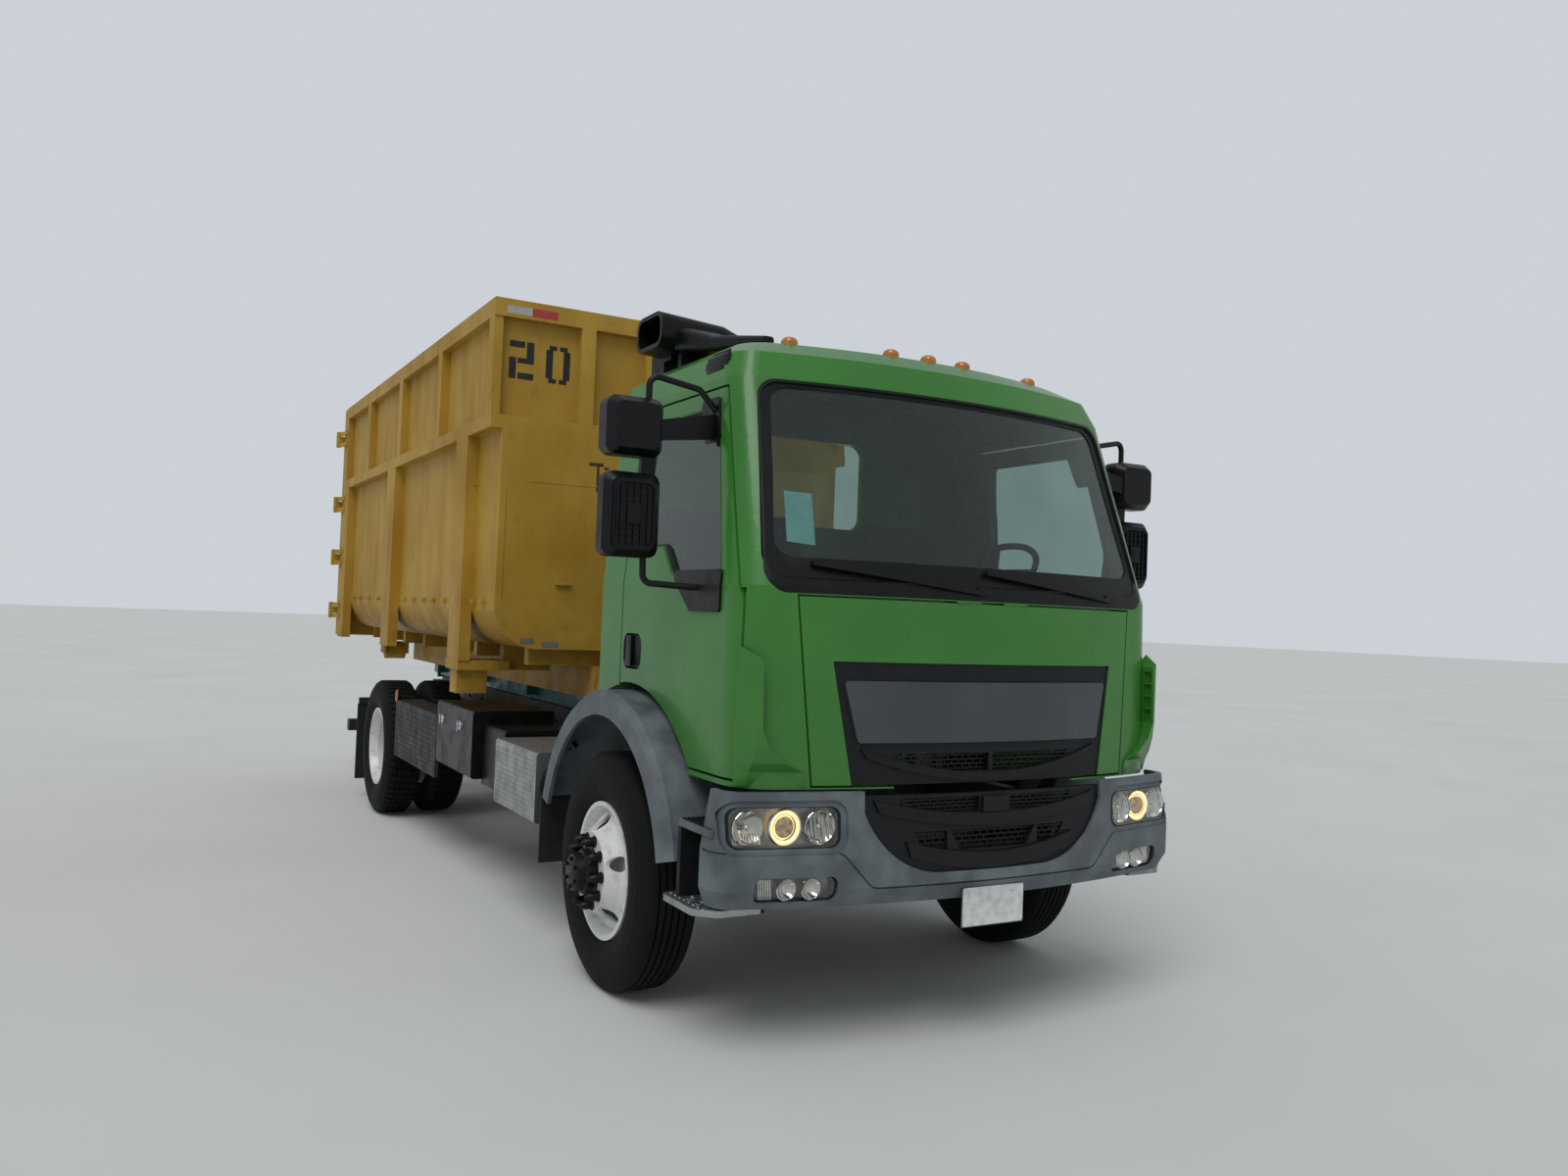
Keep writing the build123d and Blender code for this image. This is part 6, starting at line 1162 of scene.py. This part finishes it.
SEAT_CROWN = 0.36
BACK_LEAN = -0.165
for hand, centre, width in (("driver", 0.520, 0.500), ("mate", -0.470, 0.760)):
    right, left = centre - width / 2, centre + width / 2
    pads = (
        ("seat", (FA - 0.13, right + 0.01, 1.515), (FA + 0.325, left - 0.01, 1.635), 0.0),
        ("back", (FA - 0.215, right + 0.01, 1.60), (FA - 0.095, left - 0.01, 2.165), BACK_LEAN),
    )
    for part, low, high, lean in pads:
        bm = cushion(low, high, SEAT_CROWN, lean)
        piece = piece_from(bm, f"{hand}_{part}_pad", "cab", "seat_fabric", covers=["seats"], smooth_under=60)
        smoother = piece.modifiers.new("smoother", "SUBSURF")
        smoother.levels = 1
        smoother.render_levels = 1
    bm = bmesh.new()
    block(bm, (FA - 0.14, right + 0.06, 1.315), (FA + 0.29, left - 0.06, 1.512), 0.012)
    block(bm, (FA - 0.235, right + 0.03, 1.50), (FA - 0.205, left - 0.03, 1.62), 0.006)
    piece_from(bm, f"{hand}_seat_base", "cab", "trim_dark")


# Steps: a pale punched plate over the lower one, serrated bars on the upper one
PLATE_TOP = 0.5838
GRATE_FOOT = 0.8730
GRIP_RIM = ((0.0, 0.024), (0.004, 0.019), (0.0045, 0.0145), (0.0, 0.0130))
GRIP_DISC = ((0.0, 0.0132), (0.0004, 0.0132), (0.0005, 0.0))
GRIP_DOT = ((0.0, 0.006), (0.0022, 0.0045), (0.0025, 0.0))
PLATE_CORNERS = (
    (FA + 0.7165, 0.9265), (FA + 1.0635, 0.9265), (FA + 1.0635, 1.1215),
    (FA + 0.9915, 1.1985), (FA + 0.7165, 1.1985),
)
PLATE_ROWS = ((0.99, 0.5580), (1.0, 0.5590), (1.0, 0.5830), (0.99, 0.5840))
GRIPS = [(FA + 0.860 + i * 0.080, 1.075 + j * 0.060) for i in range(-1, 2) for j in range(-1, 2)]
for side, hand in SIDES:
    bm = bmesh.new()
    stacked(bm, rounded(PLATE_CORNERS, 0.032, 5), PLATE_ROWS,
            lambda point, z: Vector((point.x, side * point.y, z)))
    for x, y in GRIPS:
        turned(bm, GRIP_RIM, (x, side * y, PLATE_TOP), (0, 0, 1), 20)
    for i in range(8):
        for j in range(5):
            centre = (FA + 0.745 + i * 0.040, side * (0.960 + j * 0.052), PLATE_TOP)
            turned(bm, GRIP_DOT, centre, (0, 0, 1), 8)
    piece_from(bm, f"step_plate_{hand}", "chassis", "grille_plastic", BY_SLOT["aluminium_tread"])
    bm = bmesh.new()
    for x, y in GRIPS:
        turned(bm, GRIP_DISC, (x, side * y, PLATE_TOP + 0.0004), (0, 0, 1), 20)
    bar_low, bar_high = sorted((side * 0.944, side * 1.160))
    for row in range(11):
        x = FA + 0.797 + row * 0.0235
        for tooth in range(11):
            y = side * (0.952 + tooth * 0.0195)
            block(bm, (x - 0.006, y - 0.006, GRATE_FOOT), (x + 0.006, y + 0.006, 0.8815), 0.0015)
        block(bm, (x - 0.0035, bar_low, GRATE_FOOT), (x + 0.0035, bar_high, 0.8775))
    piece_from(bm, f"step_grip_{hand}", "chassis", "grille_plastic")
    bm = bmesh.new()
    edge_low, edge_high = sorted((side * 1.150, side * 1.1665))
    block(bm, (FA + 0.786, edge_low, 0.8500), (FA + 1.058, edge_high, 0.8770), 0.003)
    piece_from(bm, f"step_edge_{hand}", "chassis", "grille_plastic", BY_SLOT["bumper_plastic"])


# Tread plate: raised lozenges at right angles to one another

def tread_plate(bm, corner, along, up, width, height, pitch):
    """Lozenges over a rectangle; along and up are unit vectors of its sides."""
    along, up = Vector(along), Vector(up)
    out = along.cross(up)
    for column in range(int(width / pitch)):
        for row in range(int(height / pitch)):
            centre = Vector(corner) + along * ((column + 0.5) * pitch) + up * ((row + 0.5) * pitch)
            turn = 1 if (column + row) % 2 else -1
            long_way = (along + up * turn).normalized() * pitch * 0.46
            short_way = (along - up * turn).normalized() * pitch * 0.12
            ways = (long_way, short_way, -long_way, -short_way)
            rim = [bm.verts.new(centre + way + out * 0.0003) for way in ways]
            peak = bm.verts.new(centre + out * 0.0022)
            for i in range(4):
                bm.faces.new((rim[i], rim[(i + 1) % 4], peak))


BOX_LOW, BOX_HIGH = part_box("tread_plate_box")
BOX_PITCH = 0.026
BOX_TOP_DEPTH = 0.42
EDGE = 0.01
width = BOX_HIGH[0] - BOX_LOW[0] - 2 * EDGE
height = BOX_HIGH[2] - BOX_LOW[2] - 2 * EDGE
bm = bmesh.new()
tread_plate(bm, (BOX_LOW[0] + EDGE, BOX_LOW[1], BOX_LOW[2] + EDGE), (1, 0, 0), (0, 0, 1),
            width, height, BOX_PITCH)
tread_plate(bm, (BOX_LOW[0] + EDGE, BOX_LOW[1] + EDGE, BOX_HIGH[2]), (1, 0, 0), (0, 1, 0),
            width, BOX_TOP_DEPTH, BOX_PITCH)
piece_from(bm, "box_treads", "chassis", "aluminium_tread")
bm = bmesh.new()
for side, start_x in ((1, FA - 2.95), (-1, FA - 4.19)):
    tread_plate(bm, (start_x, side * 1.2, 0.53), (-side, 0, 0), (0, 0, 1),
                width=1.24, height=0.39, pitch=0.034)
piece_from(bm, "guard_treads", "chassis", "black_paint")

# Round end cap of the tread box, latches of the tool boxes
bm = bmesh.new()
cap = ((0.0, 0.172), (0.018, 0.172), (0.026, 0.160), (0.026, 0.120), (0.020, 0.112), (0.020, 0.0))
turned(bm, cap, (BOX_HIGH[0], BOX_LOW[1] + 0.19, (BOX_LOW[2] + BOX_HIGH[2]) / 2), (1, 0, 0), 48)
piece_from(bm, "box_end_cap", "chassis", "black_plastic")
LATCH_CUP = ((0.0, 0.030), (0.003, 0.030), (0.005, 0.026), (0.004, 0.0))
bm = bmesh.new()
for latch_x in (-2.78, -2.34):
    spot = meets((FA + latch_x, -BESIDE, 0.92), (0, 1, 0), "tool_boxes")
    turned(bm, LATCH_CUP, spot, (0, -1, 0), 24)
    rod(bm, spot + Vector((0, -0.001, 0)), spot + Vector((0, -0.014, 0)), 0.008)
    block(bm, spot + Vector((-0.006, -0.022, -0.032)), spot + Vector((0.006, -0.012, 0.032)), 0.003)
piece_from(bm, "box_latches", "chassis", "black_plastic", REFLECTOR)


# Amber side markers: one behind each front fender, one ahead of each rear wheel
MARKERS = ((FA - 0.640, 1.105, 1.020), (FA - 4.165, 1.190, 0.956))
MARKER_IN = 0.012
MARKER_OUT = 0.004
for side, hand in SIDES:
    bm = bmesh.new()
    for x, y, z in MARKERS:
        low = (x - 0.022, side * y - MARKER_IN, z - 0.052)
        high = (x + 0.022, side * y + MARKER_OUT, z + 0.052)
        block(bm, low, high, 0.004)
    rod(bm, (FA - 0.56, side * 1.100, 1.000), (FA - 0.645, side * 1.100, 1.015), 0.011)
    rod(bm, (FA - 4.165, side * 1.186, 0.928), (FA - 4.165, side * 1.186, 0.96), 0.009)
    piece_from(bm, f"marker_bases_{hand}", "chassis", "black_plastic")
    bm = bmesh.new()
    rows = ((1.0, 0.0), (1.0, 0.005), (0.82, 0.010), (0.45, 0.0125))
    for x, y, z in MARKERS:
        outline = rounded(centred(x, 0.018, z - 0.046, z + 0.046), 0.0175, 6)
        face = side * y + (MARKER_OUT if side > 0 else -MARKER_IN)
        stacked(bm, outline, rows, lambda point, out: Vector((point.x, face + side * out, point.y)))
    piece_from(bm, f"marker_lenses_{hand}", "chassis", "black_plastic", BY_SLOT["amber"])


# Lower mirror heads: rim and ribs of the open shell that faces forward
HEAD_LOW = 1.902
HEAD_HIGH = 2.174
RIB_HALF = 0.0016
for side, hand in SIDES:
    bm = bmesh.new()
    middle = side * MIRROR_Y
    front = meets((FA + 1.4, middle, (HEAD_LOW + HEAD_HIGH) / 2), (-1, 0, 0), f"mirrors_{hand}").x
    outline = rounded(centred(middle, 0.088, HEAD_LOW, HEAD_HIGH), 0.034, 6)
    rows = ((1.0, -0.002), (1.0, 0.009), (0.95, 0.011), (0.90, 0.009), (0.90, 0.001))
    stacked(bm, outline, rows, lambda point, out: Vector((front + out, point.x, point.y)), cap_last=False)
    back = front - 0.001
    for i in range(-2, 3):
        y = middle + i * 0.028
        block(bm, (back, y - RIB_HALF, HEAD_LOW + 0.012), (front + 0.007, y + RIB_HALF, HEAD_HIGH - 0.012))
    for i in range(9):
        z = HEAD_LOW + 0.028 + i * 0.027
        block(bm, (back, middle - 0.074, z - RIB_HALF), (front + 0.006, middle + 0.074, z + RIB_HALF))
    block(bm, (back, middle - 0.03, 2.00), (front + 0.010, middle + 0.03, 2.08), 0.003)
    piece_from(bm, f"mirror_ribs_{hand}", f"door_{hand}", "black_plastic")


# Door windows: black rubber seal over the edge of the glass
WINDOW_CORNERS = (
    (FA - 0.026, 1.945), (FA + 0.278, 1.945), (FA + 0.400, 1.823), (FA + 0.850, 1.823),
    (FA + 0.660, 2.500), (FA - 0.026, 2.500),
)
SEAL_OUT = 0.006
SEAL_IN = 0.011
opening = rounded(WINDOW_CORNERS, 0.034, 5)
outer_line, inner_line = [], []
for i, point in enumerate(opening):
    stride = (opening[(i + 1) % len(opening)] - opening[i - 1]).normalized()
    away = Vector((stride.y, -stride.x))
    outer_line.append(point + away * SEAL_OUT)
    inner_line.append(point - away * SEAL_IN)
for side, hand in SIDES:
    bm = bmesh.new()
    rings = []
    for line, lift in (
        (outer_line, 0.0004), (outer_line, 0.0016), (inner_line, 0.0016), (inner_line, 0.0002),
    ):
        ring = []
        for spot in line:
            start = (spot.x, side * BESIDE, spot.y)
            found = meets(start, (0, -side, 0), f"door_{hand}", f"door_glass_{hand}")
            ring.append(found + Vector((0, side * lift, 0)))
        rings.append(ring)
    loft_loops(bm, rings)
    piece_from(bm, f"window_seal_{hand}", f"door_{hand}", "black_plastic")


# Frame bolts: two rows along each rail
RAILS_LOW, RAILS_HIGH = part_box("frame_rails")
RAILS_TALL = RAILS_HIGH[2] - RAILS_LOW[2]
RAILS_END = 0.20
BOLTS = 20
BOLT_STRIDE = (RAILS_HIGH[0] - RAILS_LOW[0] - 2 * RAILS_END) / (BOLTS - 1)
bm = bmesh.new()
for side in (1, -1):
    for step in range(BOLTS):
        x = RAILS_HIGH[0] - RAILS_END - step * BOLT_STRIDE
        for share in (0.22, 0.78):
            spot = (x, side * RAILS_HIGH[1], RAILS_LOW[2] + share * RAILS_TALL)
            bolt(bm, spot, (0, side, 0), 0.011, 0.012)
piece_from(bm, "frame_bolts", "chassis", "black_paint")


# Papers in the screen and on the dash
IN_SCREEN = ((-0.865, 1.95), (-0.755, 1.94), (-0.74, 2.145), (-0.85, 2.15))
ON_DASH = (
    (FA + 0.88, 0.40, 1.795), (FA + 0.88, 0.66, 1.795), (FA + 0.98, 0.66, 1.80), (FA + 0.98, 0.40, 1.80),
)
BEHIND_GLASS = 0.019
bm = bmesh.new()
for slip in (on_skin(IN_SCREEN, BEHIND_GLASS), ON_DASH):
    bm.faces.new([bm.verts.new(point) for point in slip])
piece_from(bm, "paper_slips", "cab", "trim_dark", PAPER)

# Number plate, 12 by 6 inches, bolted under the bumper
PLATE_HALF = 0.1524
PLATE_X = FA + 1.254
bm = bmesh.new()
outline = rounded(centred(0, PLATE_HALF, 0.480, 0.630), 0.010, 4)
rows = ((1.0, 0.0002), (1.0, 0.0012), (0.985, 0.0022), (0.965, 0.0014))
stacked(bm, outline, rows, lambda point, out: Vector((PLATE_X + out, point.x, point.y)))
for side in (1, -1):
    bolt(bm, (PLATE_X + 0.001, side * 0.089, 0.612), (1, 0, 0), 0.005, 0.006)
piece_from(bm, "blank_plate", "chassis", "bumper_plastic", PLATE)


# Rear lamps on their boards
LAMP_BOARD_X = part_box("rear_bumper")[0][0]
TAIL_LAMP_YS = (0.835, 0.935, 1.035)
TAIL_LAMP_Z = 0.520
TAIL_LENS = ((0.0, 0.036), (-0.012, 0.036), (-0.020, 0.030), (-0.024, 0.018), (-0.025, 0.0))
TAIL_RIM = ((-0.001, 0.036), (-0.014, 0.037), (-0.014, 0.041), (0.0, 0.043))
for side, hand in SIDES:
    for name, profile, finish in (
        ("tail_lenses", TAIL_LENS, RED_LENS), ("tail_rims", TAIL_RIM, BY_SLOT["black_plastic"]),
    ):
        bm = bmesh.new()
        for y in TAIL_LAMP_YS:
            turned(bm, profile, (LAMP_BOARD_X, side * y, TAIL_LAMP_Z), (1, 0, 0), 32)
        piece_from(bm, f"{name}_{hand}", "chassis", "black_paint", finish)


# Camera, light and floor

def view_axes(yaw, pitch, roll):
    """Right, up and back of the camera."""
    forward = Vector((math.cos(pitch) * math.cos(yaw), math.cos(pitch) * math.sin(yaw), math.sin(pitch)))
    right = forward.cross(Vector((0, 0, 1))).normalized()
    up = right.cross(forward)
    tipped_right = right * math.cos(roll) + up * math.sin(roll)
    tipped_up = up * math.cos(roll) - right * math.sin(roll)
    return tipped_right, tipped_up, -forward


camera_data = bpy.data.cameras.new("photo_camera")
camera_data.lens = CAMERA_LENS
camera_data.sensor_width = CAMERA_SENSOR
camera_data.clip_end = 500
camera = bpy.data.objects.new("photo_camera", camera_data)
axes = Matrix(view_axes(CAMERA_YAW, CAMERA_PITCH, CAMERA_ROLL)).transposed()
camera.matrix_world = Matrix.Translation(CAMERA_AT) @ axes.to_4x4()
bpy.context.scene.collection.objects.link(camera)
bpy.context.scene.camera = camera

FLOOR_HALF = 120
floor_mesh = bpy.data.meshes.new("studio_floor")
floor_corners = [(x, y, 0) for x, y in centred(0, FLOOR_HALF, -FLOOR_HALF, FLOOR_HALF)]
floor_mesh.from_pydata(floor_corners, [], [(0, 1, 2, 3)])
floor = bpy.data.objects.new("studio_floor", floor_mesh)
bpy.context.scene.collection.objects.link(floor)
floor_material, tree, shader, where = begin("studio_floor", Roughness=0.9)
join(tree, blended(tree, clouds(tree, where, 2500, 0.3, 0.7), linear("#CFD0CE"), linear("#D6D7D5")), shader)
floor_mesh.materials.append(floor_material)

world = bpy.data.worlds.new("studio")
bpy.context.scene.world = world
world.use_nodes = True
tree = world.node_tree
sky = tree.nodes["Background"]
rays = add(tree, "LightPath")
seen = add(tree, "Math", {0: rays.outputs["Is Camera Ray"], 1: rays.outputs["Is Transmission Ray"]},
           operation="MAXIMUM").outputs[0]
tree.links.new(blended(tree, seen, linear("#DDE3E8"), linear("#D3D9DE")), sky.inputs["Color"])
tree.links.new(scaled(tree, seen, 0.60, 0.92), sky.inputs["Strength"])

sun_data = bpy.data.lights.new("soft_sun", "SUN")
sun_data.energy = 1.25
sun_data.angle = math.radians(35)
sun = bpy.data.objects.new("soft_sun", sun_data)
sun.rotation_mode = "QUATERNION"
sun.rotation_quaternion = Vector((0.55, -0.55, 1.15)).to_track_quat("Z", "Y")
bpy.context.scene.collection.objects.link(sun)

bpy.context.scene.view_settings.view_transform = "Standard"
